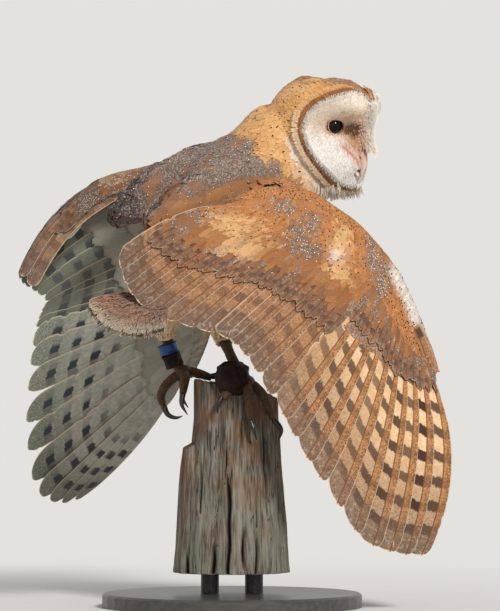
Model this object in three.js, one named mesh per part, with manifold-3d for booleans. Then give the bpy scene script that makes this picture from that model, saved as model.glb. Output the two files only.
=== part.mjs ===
// A barn owl in life size, perched on a cut length of weathered post, with its wings
// half open, its head turned to its right, and a flat stand below the post.
// Millimetres, +Z up, +X along the width of the pose, origin under the middle of the base.
import * as THREE from 'three';
import { mergeVertices } from 'three/addons/utils/BufferGeometryUtils.js';
import Module from 'manifold-3d';

const wasm = await Module();
wasm.setup();

// ---------------------------------------------------------------- driving sizes

const GAP = 0.4; // air left between two touching pieces

const STAND = { radius: 130, height: 14, bevel: 2, rodRadius: 9, rodSpacing: 44, rodHeight: 20 };
const POST = {
  foot: STAND.height + STAND.rodHeight + 2 * GAP,
  rimLeft: 229,
  rimRight: 210,
  centreY: -2,
  halfWidthTop: 44,
  halfWidthFoot: 56,
  halfDepthTop: 46,
  halfDepthFoot: 52,
  sliverTop: 162,
};

const BODY = { heading: 43, pitch: 41, blend: 8 }; // degrees, degrees, mm
const HEAD = { centre: [89, 50, 484], towardsViewer: 38, nod: 8 }; // degrees
const EYE = { radius: 9.2, side: 19, forward: 31, height: 2.5, turnOut: 24 };

const SECONDARIES = 13;
const PRIMARIES = 10;
const TAIL_FEATHERS = 12;

// The wings: stations run from the innermost feather to the outermost one.
// lead is the front edge, roots and tips are the two ends of the flight feathers.
const WING_RIGHT = {
  up: [0, -1, 0.1],
  camber: [0, -8, 0],
  upperArm: {
    spine: [[38, 16, 402], [40, -16, 402], [34, -46, 396]],
    widths: [22, 24, 18],
    depths: [22, 16, 9],
  },
  scapulars: {
    spine: [[52, 14, 430], [13, -10, 430], [-34, -36, 412], [-86, -60, 385]],
    depths: [12, 12, 9, 3.5],
  },
  alula: {
    spine: [[166, -50, 304], [188, -55, 268], [201, -58, 232]],
    widths: [5, 8, 2],
    depths: [1.6, 1.4, 1],
  },
  secondaries: {
    bowAlong: [0, 0, 1],
    lead: [
      [22, -44, 418], [34, -38, 419], [52, -30, 419], [72, -23, 417], [100, -22, 401],
      [125, -30, 384], [149, -40, 358],
    ],
    roots: [
      [14, -54, 402], [28, -60, 394], [48, -62, 384], [70, -61, 374], [97, -56, 360],
      [122, -51, 346], [144, -47, 331],
    ],
    tips: [
      [-112, -86, 347], [-102, -97, 318], [-80, -105, 295], [-43, -108, 281], [-5, -108, 269],
      [14, -103, 251], [40, -98, 208],
    ],
    bows: [12, 8, 4, 1, 0, 0, 0],
    cover: [0.78, 0.7, 0.62, 0.57, 0.52, 0.48, 0.4],
  },
  primaries: {
    bowAlong: [1, 0, 0],
    lead: [
      [149, -40, 358], [165, -44, 337], [175, -46, 318], [185, -49, 295], [195, -51, 268],
      [206, -52, 236],
    ],
    roots: [
      [144, -47, 331], [153, -46, 312], [161, -48, 300], [169, -49, 286], [177, -50, 272],
      [187, -51, 256],
    ],
    tips: [
      [44, -98, 206], [66, -96, 164], [95, -92, 120], [131, -86, 70], [165, -82, 57],
      [194, -74, 55],
    ],
    bows: [2, 3, 5, 8, 14, 27],
    cover: [0.4, 0.34, 0.3, 0.26, 0.22, 0.18],
  },
};
const WING_LEFT = {
  up: [-0.3, 1, 0.4],
  camber: [0, 7, 2],
  upperArm: {
    spine: [[2, 58, 424], [-30, 72, 430], [-62, 82, 424]],
    widths: [24, 22, 15],
    depths: [28, 18, 9],
  },
  scapulars: {
    spine: [[12, 46, 458], [-32, 44, 442], [-80, 36, 415], [-122, 26, 386]],
    depths: [12, 12, 8, 3.5],
  },
  alula: {
    spine: [[-30, 154, 278], [-41, 168, 244], [-57, 180, 216]],
    widths: [5, 7, 2],
    depths: [1.6, 1.4, 1],
  },
  secondaries: {
    bowAlong: [-0.45, 0, 0.9],
    lead: [
      [-50, 54, 434], [-34, 68, 450], [-14, 84, 434], [-8, 94, 404], [-6, 105, 374],
      [-8, 115, 345], [-12, 124, 314],
    ],
    roots: [
      [-82, 66, 421], [-78, 86, 434], [-70, 98, 415], [-60, 107, 392], [-48, 114, 362],
      [-36, 120, 338], [-25, 126, 311],
    ],
    tips: [
      [-204, 76, 320], [-218, 90, 334], [-215, 104, 325], [-203, 116, 316], [-192, 126, 306],
      [-197, 132, 295], [-204, 138, 276],
    ],
    bows: [22, 26, 19, 10, 3, 0, 0],
    cover: [0.72, 0.66, 0.57, 0.5, 0.46, 0.42, 0.36],
  },
  primaries: {
    bowAlong: [0.8, 0.2, -0.6],
    lead: [
      [-12, 124, 314], [-17, 134, 295], [-21, 142, 278], [-26, 151, 262], [-33, 160, 245],
      [-42, 170, 226],
    ],
    roots: [
      [-25, 126, 311], [-26, 133, 294], [-29, 141, 278], [-33, 150, 264], [-38, 158, 252],
      [-45, 166, 240],
    ],
    tips: [
      [-204, 138, 276], [-210, 156, 231], [-214, 186, 168], [-204, 216, 108], [-181, 248, 94],
      [-157, 264, 99],
    ],
    bows: [0, 0, 1, 3, 6, 12],
    cover: [0.36, 0.32, 0.28, 0.25, 0.22, 0.18],
  },
};
const TAIL = {
  up: [-0.1, -0.3, 1],
  camber: [0, 0, 5],
  cover: [0.24, 0.24],
  roots: [[-92, -34, 311], [-86, -38, 314], [-78, -42, 315], [-70, -46, 312], [-63, -50, 308]],
  tips: [[-138, -130, 302], [-124, -144, 285], [-100, -153, 276], [-79, -160, 276], [-63, -165, 281]],
};

// ---------------------------------------------------------------- small helpers

const vec = ([x, y, z]) => new THREE.Vector3(x, y, z);
const curveOf = points => new THREE.CatmullRomCurve3(points.map(vec), false, 'centripetal');
const scalarCurve = values => {
  const curve = new THREE.CatmullRomCurve3(values.map((value, i) => new THREE.Vector3(value, i, 0)));
  return t => curve.getPoint(t).x;
};
const radians = degrees => THREE.MathUtils.degToRad(degrees);
const { clamp, lerp } = THREE.MathUtils;
const bell = (distance, width) => Math.exp(-((distance / width) ** 2));

function geometryFrom(positions, triangles) {
  const geometry = new THREE.BufferGeometry();
  geometry.setAttribute('position', new THREE.Float32BufferAttribute(positions, 3));
  const swapped = [0, 1, -1]; // offsets that turn each triangle's corners round
  const insideOut = signedVolume(positions, triangles) < 0;
  geometry.setIndex(insideOut ? triangles.map((_, i) => triangles[i + swapped[i % 3]]) : triangles);
  return geometry;
}

// A library shape as a plain closed mesh: only positions, shared corners, faces outwards.
function closedMesh(geometry) {
  geometry.deleteAttribute('normal');
  geometry.deleteAttribute('uv');
  const merged = mergeVertices(geometry, 1e-4);
  return geometryFrom(Array.from(merged.attributes.position.array), Array.from(merged.index.array));
}

function signedVolume(positions, triangles) {
  const corner = index => new THREE.Vector3().fromArray(positions, 3 * index);
  let total = 0;
  for (let i = 0; i < triangles.length; i += 3) {
    const [a, b, c] = [corner(triangles[i]), corner(triangles[i + 1]), corner(triangles[i + 2])];
    total += a.dot(b.cross(c)) / 6;
  }
  return total;
}

// A closed skin over a stack of rings, with one point closing each end.
function skinRings(start, rings, end) {
  const sides = rings[0].length;
  const points = [start, ...rings.flat(), end];
  const last = points.length - 1;
  const triangles = [];
  for (let side = 0; side < sides; side++) {
    const next = (side + 1) % sides;
    triangles.push(0, 1 + next, 1 + side);
    triangles.push(last, last - sides + side, last - sides + next);
    for (let ring = 0; ring < rings.length - 1; ring++) {
      const low = 1 + ring * sides;
      const high = low + sides;
      triangles.push(low + side, low + next, high + next, low + side, high + next, high + side);
    }
  }
  return geometryFrom(points.flatMap(point => point.toArray()), triangles);
}

// A closed slab between two sheets of points with the same rows and columns.
function slab(top, bottom) {
  const rows = top.length;
  const columns = top[0].length;
  const points = [...top.flat(), ...bottom.flat()];
  const [lastRow, lastColumn] = [rows - 1, columns - 1];
  const upper = (row, column) => row * columns + column;
  const lower = (row, column) => rows * columns + upper(row, column);
  const triangles = [];
  const quad = (a, b, c, d) => triangles.push(a, b, c, a, c, d);
  for (let row = 0; row < lastRow; row++) {
    for (let column = 0; column < lastColumn; column++) {
      const [below, right] = [row + 1, column + 1];
      quad(upper(row, column), upper(row, right), upper(below, right), upper(below, column));
      quad(lower(row, column), lower(below, column), lower(below, right), lower(row, right));
    }
  }
  for (let column = 0; column < lastColumn; column++) {
    const right = column + 1;
    quad(upper(0, column), lower(0, column), lower(0, right), upper(0, right));
    quad(upper(lastRow, column), upper(lastRow, right), lower(lastRow, right), lower(lastRow, column));
  }
  for (let row = 0; row < lastRow; row++) {
    const below = row + 1;
    quad(upper(row, 0), upper(below, 0), lower(below, 0), lower(row, 0));
    quad(upper(row, lastColumn), lower(row, lastColumn), lower(below, lastColumn), upper(below, lastColumn));
  }
  return geometryFrom(points.flatMap(point => point.toArray()), triangles);
}

// A tapered limb: oval sections square to a curved spine, with rounded ends.
function limb({ spine, widths, depths = widths, across, sides = 12, steps = 14, round = 0.5 }) {
  const path = curveOf(spine);
  const width = scalarCurve(widths);
  const depth = scalarCurve(depths);
  const rings = [];
  for (let step = 0; step <= steps; step++) {
    const t = step / steps;
    const along = path.getTangent(t);
    const deep = along.clone().cross(vec(across)).normalize();
    const wide = deep.clone().cross(along);
    const ring = [];
    for (let side = 0; side < sides; side++) {
      const angle = (2 * Math.PI * side) / sides;
      ring.push(path.getPoint(t)
        .addScaledVector(wide, width(t) * Math.cos(angle))
        .addScaledVector(deep, depth(t) * Math.sin(angle)));
    }
    rings.push(ring);
  }
  const start = path.getPoint(0).addScaledVector(path.getTangent(0), -round * depth(0));
  const end = path.getPoint(1).addScaledVector(path.getTangent(1), round * depth(1));
  return skinRings(start, rings, end);
}

// ---------------------------------------------------------------- joining and cutting

function toSolid(geometry) {
  return new wasm.Manifold(new wasm.Mesh({
    numProp: 3,
    vertProperties: new Float32Array(geometry.attributes.position.array),
    triVerts: new Uint32Array(geometry.index.array),
  }));
}

function toGeometry(solid) {
  const mesh = solid.getMesh();
  return geometryFrom(Array.from(mesh.vertProperties), Array.from(mesh.triVerts));
}

function swell(geometry, distance) {
  const swollen = geometry.clone();
  swollen.computeVertexNormals();
  const { position, normal } = swollen.attributes;
  for (let i = 0; i < position.count; i++) {
    position.setXYZ(
      i,
      position.getX(i) + distance * normal.getX(i),
      position.getY(i) + distance * normal.getY(i),
      position.getZ(i) + distance * normal.getZ(i),
    );
  }
  return swollen;
}

function largestPiece(solid) {
  const pieces = solid.decompose();
  return pieces.reduce((best, piece) => (piece.volume() > best.volume() ? piece : best));
}

const owl = new THREE.Group();
const placed = [];

const boxOf = geometry => new THREE.Box3().setFromBufferAttribute(geometry.attributes.position);

// Adds a named piece made of one or more shapes, cut back by GAP from all placed before it.
function place(name, shapes, finish) {
  let solid = shapes.map(toSolid).reduce((whole, piece) => whole.add(piece));
  for (const earlier of placed) {
    if (shapes.some(shape => boxOf(shape).intersectsBox(earlier.box))) {
      solid = solid.subtract(earlier.swollen).subtract(earlier.solid);
    }
  }
  const mesh = new THREE.Mesh(toGeometry(largestPiece(solid)), new THREE.MeshStandardMaterial(finish));
  mesh.name = name;
  owl.add(mesh);
  for (const shape of shapes) {
    placed.push({
      box: boxOf(shape).expandByScalar(GAP),
      solid: toSolid(shape),
      swollen: toSolid(swell(shape, GAP)),
    });
  }
}

const FINISH = {
  golden: { color: 0xc98a4a, roughness: 0.85, metalness: 0 },
  grey: { color: 0x7c6f6a, roughness: 0.85, metalness: 0 },
  flight: { color: 0xb98257, roughness: 0.8, metalness: 0 },
  white: { color: 0xe9e2d6, roughness: 0.9, metalness: 0 },
  eye: { color: 0x120c0a, roughness: 0.05, metalness: 0 },
  bill: { color: 0xd9b8a6, roughness: 0.5, metalness: 0 },
  scaly: { color: 0x6b5334, roughness: 0.7, metalness: 0 },
  claw: { color: 0x1c1613, roughness: 0.35, metalness: 0 },
  leather: { color: 0x24150f, roughness: 0.6, metalness: 0 },
  band: { color: 0x1f4f8f, roughness: 0.4, metalness: 0 },
  wood: { color: 0x8b8178, roughness: 0.95, metalness: 0 },
  stand: { color: 0x2b2a29, roughness: 0.45, metalness: 0 },
};

// ---------------------------------------------------------------- the head

const headFrame = (() => {
  const yaw = radians(HEAD.towardsViewer);
  const nod = radians(HEAD.nod);
  const level = Math.cos(nod);
  const forward = new THREE.Vector3(Math.cos(yaw) * level, -Math.sin(yaw) * level, -Math.sin(nod));
  const right = new THREE.Vector3(-Math.sin(yaw), -Math.cos(yaw), 0);
  const up = right.clone().cross(forward);
  return new THREE.Matrix4().makeBasis(right, forward, up).setPosition(vec(HEAD.centre));
})();
// Side, forward and height in the head become a place in the room.
const inHead = (side, forward, height) => new THREE.Vector3(side, forward, height)
  .applyMatrix4(headFrame);
const headDirection = (side, forward, height) => new THREE.Vector3(side, forward, height)
  .transformDirection(headFrame);

// How far forward the facial disc stands at a place on the face.
function discDepth(side, height) {
  const across = Math.abs(side);
  const foreheadBack = 13 * clamp((height - 26) / 20, 0, 1) ** 2;
  const chinBack = 10 * clamp((-height - 34) / 28, 0, 1) ** 2;
  const centreLine = 62 - foreheadBack - chinBack;
  const slope = height < 0 ? 1.04 + 0.004 * height : 1.04;
  const brow = 21 * bell(Math.hypot(across - 22, height - 24), 15);
  const cheek = 7 * bell(Math.hypot(across - 20, height + 36), 15);
  const hollow = 7 * bell(Math.hypot(across - EYE.side, height - EYE.height), 9);
  const ridge = 5 * bell(across, 9) * bell(height + 6, 26);
  const chin = 8 * bell(across, 8) * bell(height + 47, 9);
  return centreLine - slope * across + brow + cheek - hollow + ridge - chin;
}

// The rim of the disc is a heart: two round lobes above, a blunt point below.
function discRim(angle) {
  const [cos, sin] = [Math.cos(angle), Math.sin(angle)];
  const side = 48 * Math.sign(cos) * Math.abs(cos) ** 0.82;
  const lobes = 47 * Math.max(sin, 0) ** 0.75 - 9 * bell(side, 9) * Math.max(sin, 0);
  const chin = -52 * Math.max(-sin, 0) ** 0.9;
  return { side: side * (sin < 0 ? 1 - 0.16 * Math.abs(sin) : 1), height: lobes + chin - 6 };
}

function headShape() {
  const around = 28;
  const discRings = 5;
  const backRings = 4;
  const middleHeight = -6;
  const backOfHead = -50;
  const rings = [];
  for (let ring = 1; ring <= discRings + backRings; ring++) {
    const points = [];
    for (let step = 0; step < around; step++) {
      const angle = (2 * Math.PI * (step + 0.5)) / around;
      const rim = discRim(angle);
      const rimDepth = discDepth(rim.side, rim.height);
      if (ring <= discRings) {
        const share = ring / discRings;
        const side = rim.side * share;
        const height = middleHeight + (rim.height - middleHeight) * share;
        points.push(inHead(side, discDepth(side, height) + 2 * bell(share - 1, 0.12), height));
      } else {
        const turn = ((ring - discRings) / (backRings + 1)) * (Math.PI / 2);
        const bulge = 1 + (0.16 + 0.32 * Math.max(Math.sin(angle), 0)) * Math.sin(2 * turn);
        const share = bulge * Math.cos(turn) ** 0.75;
        const depth = rimDepth + (backOfHead - rimDepth) * Math.sin(turn);
        points.push(inHead(rim.side * share, depth, middleHeight + (rim.height - middleHeight) * share));
      }
    }
    rings.push(points);
  }
  return skinRings(
    inHead(0, discDepth(0, middleHeight), middleHeight),
    rings,
    inHead(0, backOfHead - 1, middleHeight),
  );
}

function eyeShape(sideSign) {
  const turned = radians(EYE.turnOut);
  const centre = inHead(sideSign * EYE.side, EYE.forward, EYE.height);
  const geometry = new THREE.SphereGeometry(EYE.radius, 12, 8);
  const aim = headDirection(sideSign * Math.sin(turned), Math.cos(turned), 0);
  geometry.applyQuaternion(new THREE.Quaternion().setFromUnitVectors(new THREE.Vector3(0, 1, 0), aim));
  geometry.translate(...centre.toArray());
  return closedMesh(geometry);
}

// The bill in the middle plane of the head: forward and height of each station.
const BILL = {
  upper: {
    stations: [[44, -14], [57, -20], [64, -31], [61, -45]],
    widths: [6, 6, 4.2, 1],
    depths: [7, 8, 6, 1],
  },
  lower: {
    stations: [[42, -34], [53, -42], [60, -48]],
    widths: [5.5, 5, 2.2],
    depths: [4, 3.5, 1.5],
  },
};

function billShape({ stations, widths, depths }) {
  const across = headDirection(1, 0, 0).toArray();
  const spine = stations.map(([forward, height]) => inHead(0, forward, height).toArray());
  return limb({ spine, widths, depths, across, sides: 8, steps: 6, round: 0.3 });
}

// ---------------------------------------------------------------- trunk and neck

// The covered body is a smooth union of ovals: [middle], [half length, half width, half depth].
const BODY_OVALS = [
  { at: [16, 38, 402], half: [64, 52, 56] }, // breast
  { at: [-30, 2, 358], half: [58, 44, 42] }, // belly
  { at: [-68, -36, 322], half: [38, 30, 25] }, // rump
  { at: [-6, 36, 428], half: [54, 52, 40] }, // mantle
  { at: [48, 51, 464], half: [42, 42, 48] }, // nape
  { at: [76, 44, 432], half: [34, 32, 34] }, // throat
];

const bodyFrame = (() => {
  const heading = radians(BODY.heading);
  const pitch = radians(BODY.pitch);
  const forward = new THREE.Vector3(
    Math.cos(heading) * Math.cos(pitch),
    Math.sin(heading) * Math.cos(pitch),
    Math.sin(pitch),
  );
  const right = new THREE.Vector3(Math.sin(heading), -Math.cos(heading), 0);
  return { forward, right, up: right.clone().cross(forward) };
})();

function ovalDistance(point, oval) {
  const offset = point.clone().sub(vec(oval.at));
  const local = [offset.dot(bodyFrame.forward), offset.dot(bodyFrame.right), offset.dot(bodyFrame.up)];
  const scaled = Math.hypot(...local.map((value, i) => value / oval.half[i]));
  const slope = Math.hypot(...local.map((value, i) => value / oval.half[i] ** 2));
  return slope < 1e-6 ? -Math.min(...oval.half) : (scaled * (scaled - 1)) / slope;
}

function bodyDistance(point) {
  const nearness = BODY_OVALS.map(oval => Math.exp(-ovalDistance(point, oval) / BODY.blend));
  return -BODY.blend * Math.log(nearness.reduce((sum, value) => sum + value));
}

// The distance from a point inside the body to its surface, along a direction.
function reach(start, direction) {
  const step = 2;
  let far = 0;
  while (far < 130 && bodyDistance(start.clone().addScaledVector(direction, far)) < 0) {
    far += step;
  }
  let near = Math.max(far - step, 0);
  for (let i = 0; i < 12; i++) {
    const middle = (near + far) / 2;
    if (bodyDistance(start.clone().addScaledVector(direction, middle)) < 0) {
      near = middle;
    } else {
      far = middle;
    }
  }
  return far;
}

function bodyTube(from, to, steps) {
  const spine = curveOf([
    [-86, -52, 305], [-62, -30, 324], [-28, 2, 358], [8, 32, 396],
    [34, 44, 424], [59, 48, 446], [84, 47, 466],
  ]);
  const sides = 20;
  const rings = [];
  for (let step = 0; step <= steps; step++) {
    const t = from + ((to - from) * step) / steps;
    const along = spine.getTangent(t);
    const wide = bodyFrame.right.clone().addScaledVector(along, -bodyFrame.right.dot(along)).normalize();
    const deep = wide.clone().cross(along);
    const ring = [];
    for (let side = 0; side < sides; side++) {
      const angle = (2 * Math.PI * side) / sides;
      const direction = wide.clone().multiplyScalar(Math.cos(angle))
        .addScaledVector(deep, Math.sin(angle));
      ring.push(spine.getPoint(t).addScaledVector(direction, reach(spine.getPoint(t), direction)));
    }
    rings.push(ring);
  }
  const back = spine.getTangent(from).negate();
  const front = spine.getTangent(to);
  const closed = (t, direction, open) => spine.getPoint(t)
    .addScaledVector(direction, open ? reach(spine.getPoint(t), direction) : 0);
  return skinRings(closed(from, back, from === 0), rings, closed(to, front, to === 1));
}

// ---------------------------------------------------------------- wings and tail

// A point on a feather sheet: share 0 at the roots, 1 at the tips.
function sheetPoint(sheet, station, share) {
  const root = sheet.rootCurve.getPoint(station);
  const tip = sheet.tipCurve.getPoint(station);
  const lift = 4 * share * (1 - share);
  return root.clone().lerp(tip, share)
    .addScaledVector(sheet.camber, lift)
    .addScaledVector(sheet.bowAlong, lift * sheet.bow(station));
}

function sheetOf(wing, group) {
  return {
    up: vec(wing.up).normalize(),
    camber: vec(wing.camber),
    bowAlong: vec(group.bowAlong ?? [0, 0, 0]),
    rootCurve: curveOf(group.roots),
    tipCurve: curveOf(group.tips),
    bow: scalarCurve(group.bows ?? [0, 0]),
  };
}

function sheetNormal(sheet, station, share) {
  const nudge = 0.01;
  const across = sheetPoint(sheet, Math.min(station + nudge, 1), share)
    .sub(sheetPoint(sheet, Math.max(station - nudge, 0), share));
  const along = sheetPoint(sheet, station, share + nudge).sub(sheetPoint(sheet, station, share - nudge));
  const normal = across.cross(along).normalize();
  return normal.dot(sheet.up) < 0 ? normal.negate() : normal;
}

// A fan of overlapping flight feathers as one thin sheet with a scalloped end.
function featherFan(sheet, group, { count, notch, rows, thick = 1.7, overlap = 0.9, blunt = true }) {
  const cover = scalarCurve(group.cover);
  const across = blunt ? [-0.46, -0.18, 0.18, 0.46] : [-0.46, 0, 0.46];
  const roundEnd = blunt ? [1, 0.06, 0.06, 1] : [1, 0, 1];
  const lines = [];
  for (let feather = 0; feather < count; feather++) {
    across.forEach((offset, i) => lines.push({
      station: clamp((feather + 0.5 + offset) / count, 0, 1),
      short: roundEnd[i],
      rise: -2 * overlap * offset,
    }));
  }
  const sheets = [1, -1].map(sign => Array.from({ length: rows + 1 }, (_, row) => lines.map(line => {
    const length = sheetPoint(sheet, line.station, 0).distanceTo(sheetPoint(sheet, line.station, 1));
    const end = 1 - (line.short * notch(line.station)) / length;
    const start = cover(line.station) + (2 * GAP) / length;
    const share = start + (end - start) * (row / rows) ** 0.85;
    const half = (thick / 2) * (1.3 - 0.5 * (row / rows));
    return sheetPoint(sheet, line.station, share)
      .addScaledVector(sheetNormal(sheet, line.station, share), line.rise + sign * half);
  })));
  return slab(sheets[0], sheets[1]);
}

// The fleshy front of a wing with its coverts: thick in front, thin where the feathers leave it.
function wingFront(sheet, group, { from = 0, to = 1, columns = 8, rows = 5, thick, edge = 2.2 }) {
  const lead = curveOf(group.lead);
  const cover = scalarCurve(group.cover);
  const halfAt = scalarCurve(thick);
  const place = (station, v) => {
    const front = lead.getPoint(station);
    const root = sheetPoint(sheet, station, 0.04);
    const back = sheetPoint(sheet, station, cover(station));
    const half = sheetPoint(sheet, station, cover(station) / 2);
    return new THREE.CatmullRomCurve3([front, root, half, back], false, 'chordal').getPointAt(v);
  };
  const nudge = 0.02;
  const sheets = [1, -1].map(sign => Array.from({ length: rows + 1 }, (_, row) => {
    const v = row / rows;
    return Array.from({ length: columns + 1 }, (__, column) => {
      const station = from + ((to - from) * column) / columns;
      const across = place(clamp(station + nudge, 0, 1), v).sub(place(clamp(station - nudge, 0, 1), v));
      const along = place(station, clamp(v + nudge, 0, 1)).sub(place(station, clamp(v - nudge, 0, 1)));
      const normal = across.cross(along).normalize();
      const side = normal.dot(sheet.up) < 0 ? -1 : 1;
      const swelling = Math.sin(Math.PI * clamp(v * 1.15 + 0.1, 0, 1)) ** 0.8;
      const half = edge / 2 + halfAt(station) * swelling;
      return place(station, v).addScaledVector(normal, side * sign * half);
    });
  }));
  return slab(sheets[0], sheets[1]);
}

// ---------------------------------------------------------------- legs and feet

const LEGS = {
  right: {
    thigh: {
      spine: [[-14, 4, 340], [-12, -12, 305], [-9, -22, 278], [-7, -26, 262]],
      widths: [26, 24, 15, 9],
    },
    shank: [[-8, -24, 268], [-2, -32, 254], [4, -38, 242], [9, -42, 232]],
    palm: [14, -44, 226],
    toes: {
      middle: {
        path: [[13, -44, 226], [16, -55, 216], [17, -56, 201], [18, -55, 187]],
        claw: [[18, -55, 188], [22, -58, 178], [25, -54, 168]],
      },
      outer: {
        path: [[20, -42, 224], [31, -46, 213], [38, -42, 198], [41, -37, 188]],
        claw: [[41, -37, 189], [49, -37, 178], [46, -33, 166]],
      },
      inner: {
        path: [[8, -44, 224], [-3, -52, 216], [-10, -54, 210]],
        claw: [[-10, -54, 211], [-14, -56, 203], [-14, -52, 194]],
      },
      rear: {
        path: [[13, -38, 226], [14, -24, 227], [14, -12, 223]],
        claw: [[14, -13, 224], [14, -5, 225], [13, 2, 219]],
      },
    },
  },
  left: {
    thigh: {
      spine: [[-42, 6, 340], [-58, 4, 308], [-67, 5, 285], [-66, 7, 266]],
      widths: [27, 24, 16, 10],
    },
    shank: [[-66, 7, 272], [-62, 9, 258], [-57, 11, 246], [-52, 12, 238]],
    palm: [-48, 12, 235],
    toes: {
      middle: {
        path: [[-48, 8, 235], [-47, -6, 227], [-49, -13, 213]],
        claw: [[-49, -13, 214], [-50, -16, 203], [-44, -15, 192]],
      },
      outer: {
        path: [[-48, 18, 235], [-49, 32, 230], [-50, 38, 218]],
        claw: [[-50, 38, 219], [-50, 42, 208], [-44, 40, 198]],
      },
      inner: {
        path: [[-44, 12, 236], [-32, 8, 233], [-20, 6, 229]],
        claw: [[-21, 6, 230], [-13, 5, 232], [-7, 5, 226]],
      },
      rear: {
        path: [[-52, 13, 233], [-65, 12, 223], [-71, 11, 211], [-69, 11, 201]],
        claw: [[-69, 11, 202], [-64, 11, 192], [-56, 11, 189], [-49, 11, 191]],
      },
    },
  },
};

function toeShape(path, girth = 5) {
  const sizes = path.map((_, i) => girth * (1 - 0.07 * i) * (i === path.length - 1 ? 0.8 : 1));
  return limb({ spine: path, widths: sizes, across: [0, 0.6, 0.8], sides: 6, steps: 4, round: 0.5 });
}

function clawShape(path, girth = 3) {
  const sizes = path.map((_, i) => girth * (1 - i / (path.length - 1)) ** 0.7 + 0.45);
  return limb({ spine: path, widths: sizes, across: [0.2, 1, 0.1], sides: 6, steps: 4, round: 0.6 });
}

function placeLeg(side, leg) {
  for (const [toe, { claw }] of Object.entries(leg.toes)) {
    place(`claw_${side}_${toe}`, [clawShape(claw)], FINISH.claw);
  }
  const [palmX, palmY, palmZ] = leg.palm;
  const ball = limb({
    spine: [[palmX, palmY - 3, palmZ + 1], leg.palm, [palmX, palmY + 3, palmZ - 1]],
    widths: [6, 9, 6],
    depths: [5, 7, 5],
    across: [1, 0, 0],
    sides: 8,
    steps: 4,
  });
  const shank = limb({ spine: leg.shank, widths: [6, 5, 5.2, 6], across: [1, 0, 0], sides: 8, steps: 5 });
  const toes = Object.values(leg.toes).map(({ path }) => toeShape(path));
  place(`foot_${side}`, [ball, ...toes], FINISH.scaly);
  place(`shank_${side}`, [shank], FINISH.scaly);
}

// A ring of leather or plastic round a leg: a turned wall on the line of the shank.
function legRing(from, to, profile) {
  const axis = vec(to).sub(vec(from));
  const length = axis.length();
  const points = profile.map(([radius, share]) => new THREE.Vector2(radius, share * length));
  const geometry = new THREE.LatheGeometry([...points, points[0]], 12);
  const turn = new THREE.Quaternion().setFromUnitVectors(new THREE.Vector3(0, 1, 0), axis.normalize());
  geometry.applyQuaternion(turn);
  geometry.translate(...from);
  return closedMesh(geometry);
}

// ---------------------------------------------------------------- post and stand

// Height of the worn top of the post: it falls to the right and is a little hollow.
function postTop(x, y) {
  const share = clamp((x + POST.halfWidthTop) / (2 * POST.halfWidthTop), 0, 1);
  return lerp(POST.rimLeft, POST.rimRight, share) + 2 * Math.sin(0.09 * x + 0.07 * y);
}

// Cracks and ridges that run down the outside of the post.
function postGrain(angle, height) {
  const sway = 0.05 * Math.sin(height / 31);
  const ridges = 1.2 * Math.sin(5 * angle + 1) + 0.8 * Math.sin(11 * angle + 2 + 6 * sway);
  const cracks = [0.35, 1.9, 3.4, 4.4, 5.1]
    .reduce((sum, at) => sum + 4 * bell(angle - at - sway, 0.09), 0);
  return ridges - cracks;
}

function postShape() {
  const sides = 36;
  const rings = [];
  const heights = [0, 0.25, 0.5, 0.71, 0.74, 0.88, 1];
  for (const share of heights) {
    const ring = [];
    for (let side = 0; side < sides; side++) {
      const angle = (2 * Math.PI * side) / sides;
      const height = lerp(POST.foot, POST.rimRight, share);
      const left = angle > 0.85 * Math.PI && angle < 1.22 * Math.PI;
      const sliver = left && height < POST.sliverTop ? 9 : 0;
      const width = lerp(POST.halfWidthFoot, POST.halfWidthTop, Math.min(share * 1.15, 1));
      const depth = lerp(POST.halfDepthFoot, POST.halfDepthTop, share);
      const out = 1 + (postGrain(angle, height) + (sliver - (left ? 4 : 0))) / width;
      const x = 1 + width * out * Math.cos(angle);
      const y = POST.centreY + depth * out * Math.sin(angle);
      const z = share === 1 ? postTop(x, y) : share === 0 ? POST.foot : height;
      ring.push(new THREE.Vector3(x, y, z));
    }
    rings.push(ring);
  }
  const topRing = rings.at(-1);
  const inner = topRing.map(point => {
    const x = point.x * 0.5;
    const y = POST.centreY + (point.y - POST.centreY) * 0.5;
    return new THREE.Vector3(x, y, postTop(x, y) - 2);
  });
  const middle = new THREE.Vector3(0, POST.centreY, postTop(0, POST.centreY) - 3);
  return skinRings(new THREE.Vector3(0, POST.centreY, POST.foot), [...rings, inner], middle);
}

function placeStand() {
  const { radius, height, bevel, rodRadius, rodSpacing, rodHeight } = STAND;
  const profile = [[0, 0], [radius, 0], [radius, height - bevel], [radius - bevel, height], [0, height]];
  const base = new THREE.LatheGeometry(profile.map(([x, y]) => new THREE.Vector2(x, y)), 40);
  base.rotateX(Math.PI / 2);
  place('stand_base', [closedMesh(base)], FINISH.stand);
  for (const [name, sign] of [['left', -1], ['right', 1]]) {
    const rod = new THREE.CylinderGeometry(rodRadius, rodRadius, rodHeight, 20);
    rod.rotateX(Math.PI / 2);
    rod.translate(sign * rodSpacing / 2, POST.centreY, height + GAP + rodHeight / 2);
    place(`stand_rod_${name}`, [closedMesh(rod)], FINISH.stand);
  }
}

// ---------------------------------------------------------------- putting it together

placeStand();
place('perch_post', [postShape()], FINISH.wood);

place('eye_right', [eyeShape(1)], FINISH.eye);
place('eye_left', [eyeShape(-1)], FINISH.eye);
place('bill_upper', [billShape(BILL.upper)], FINISH.bill);
place('bill_lower', [billShape(BILL.lower)], FINISH.bill);
place('head', [headShape()], FINISH.white);

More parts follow.
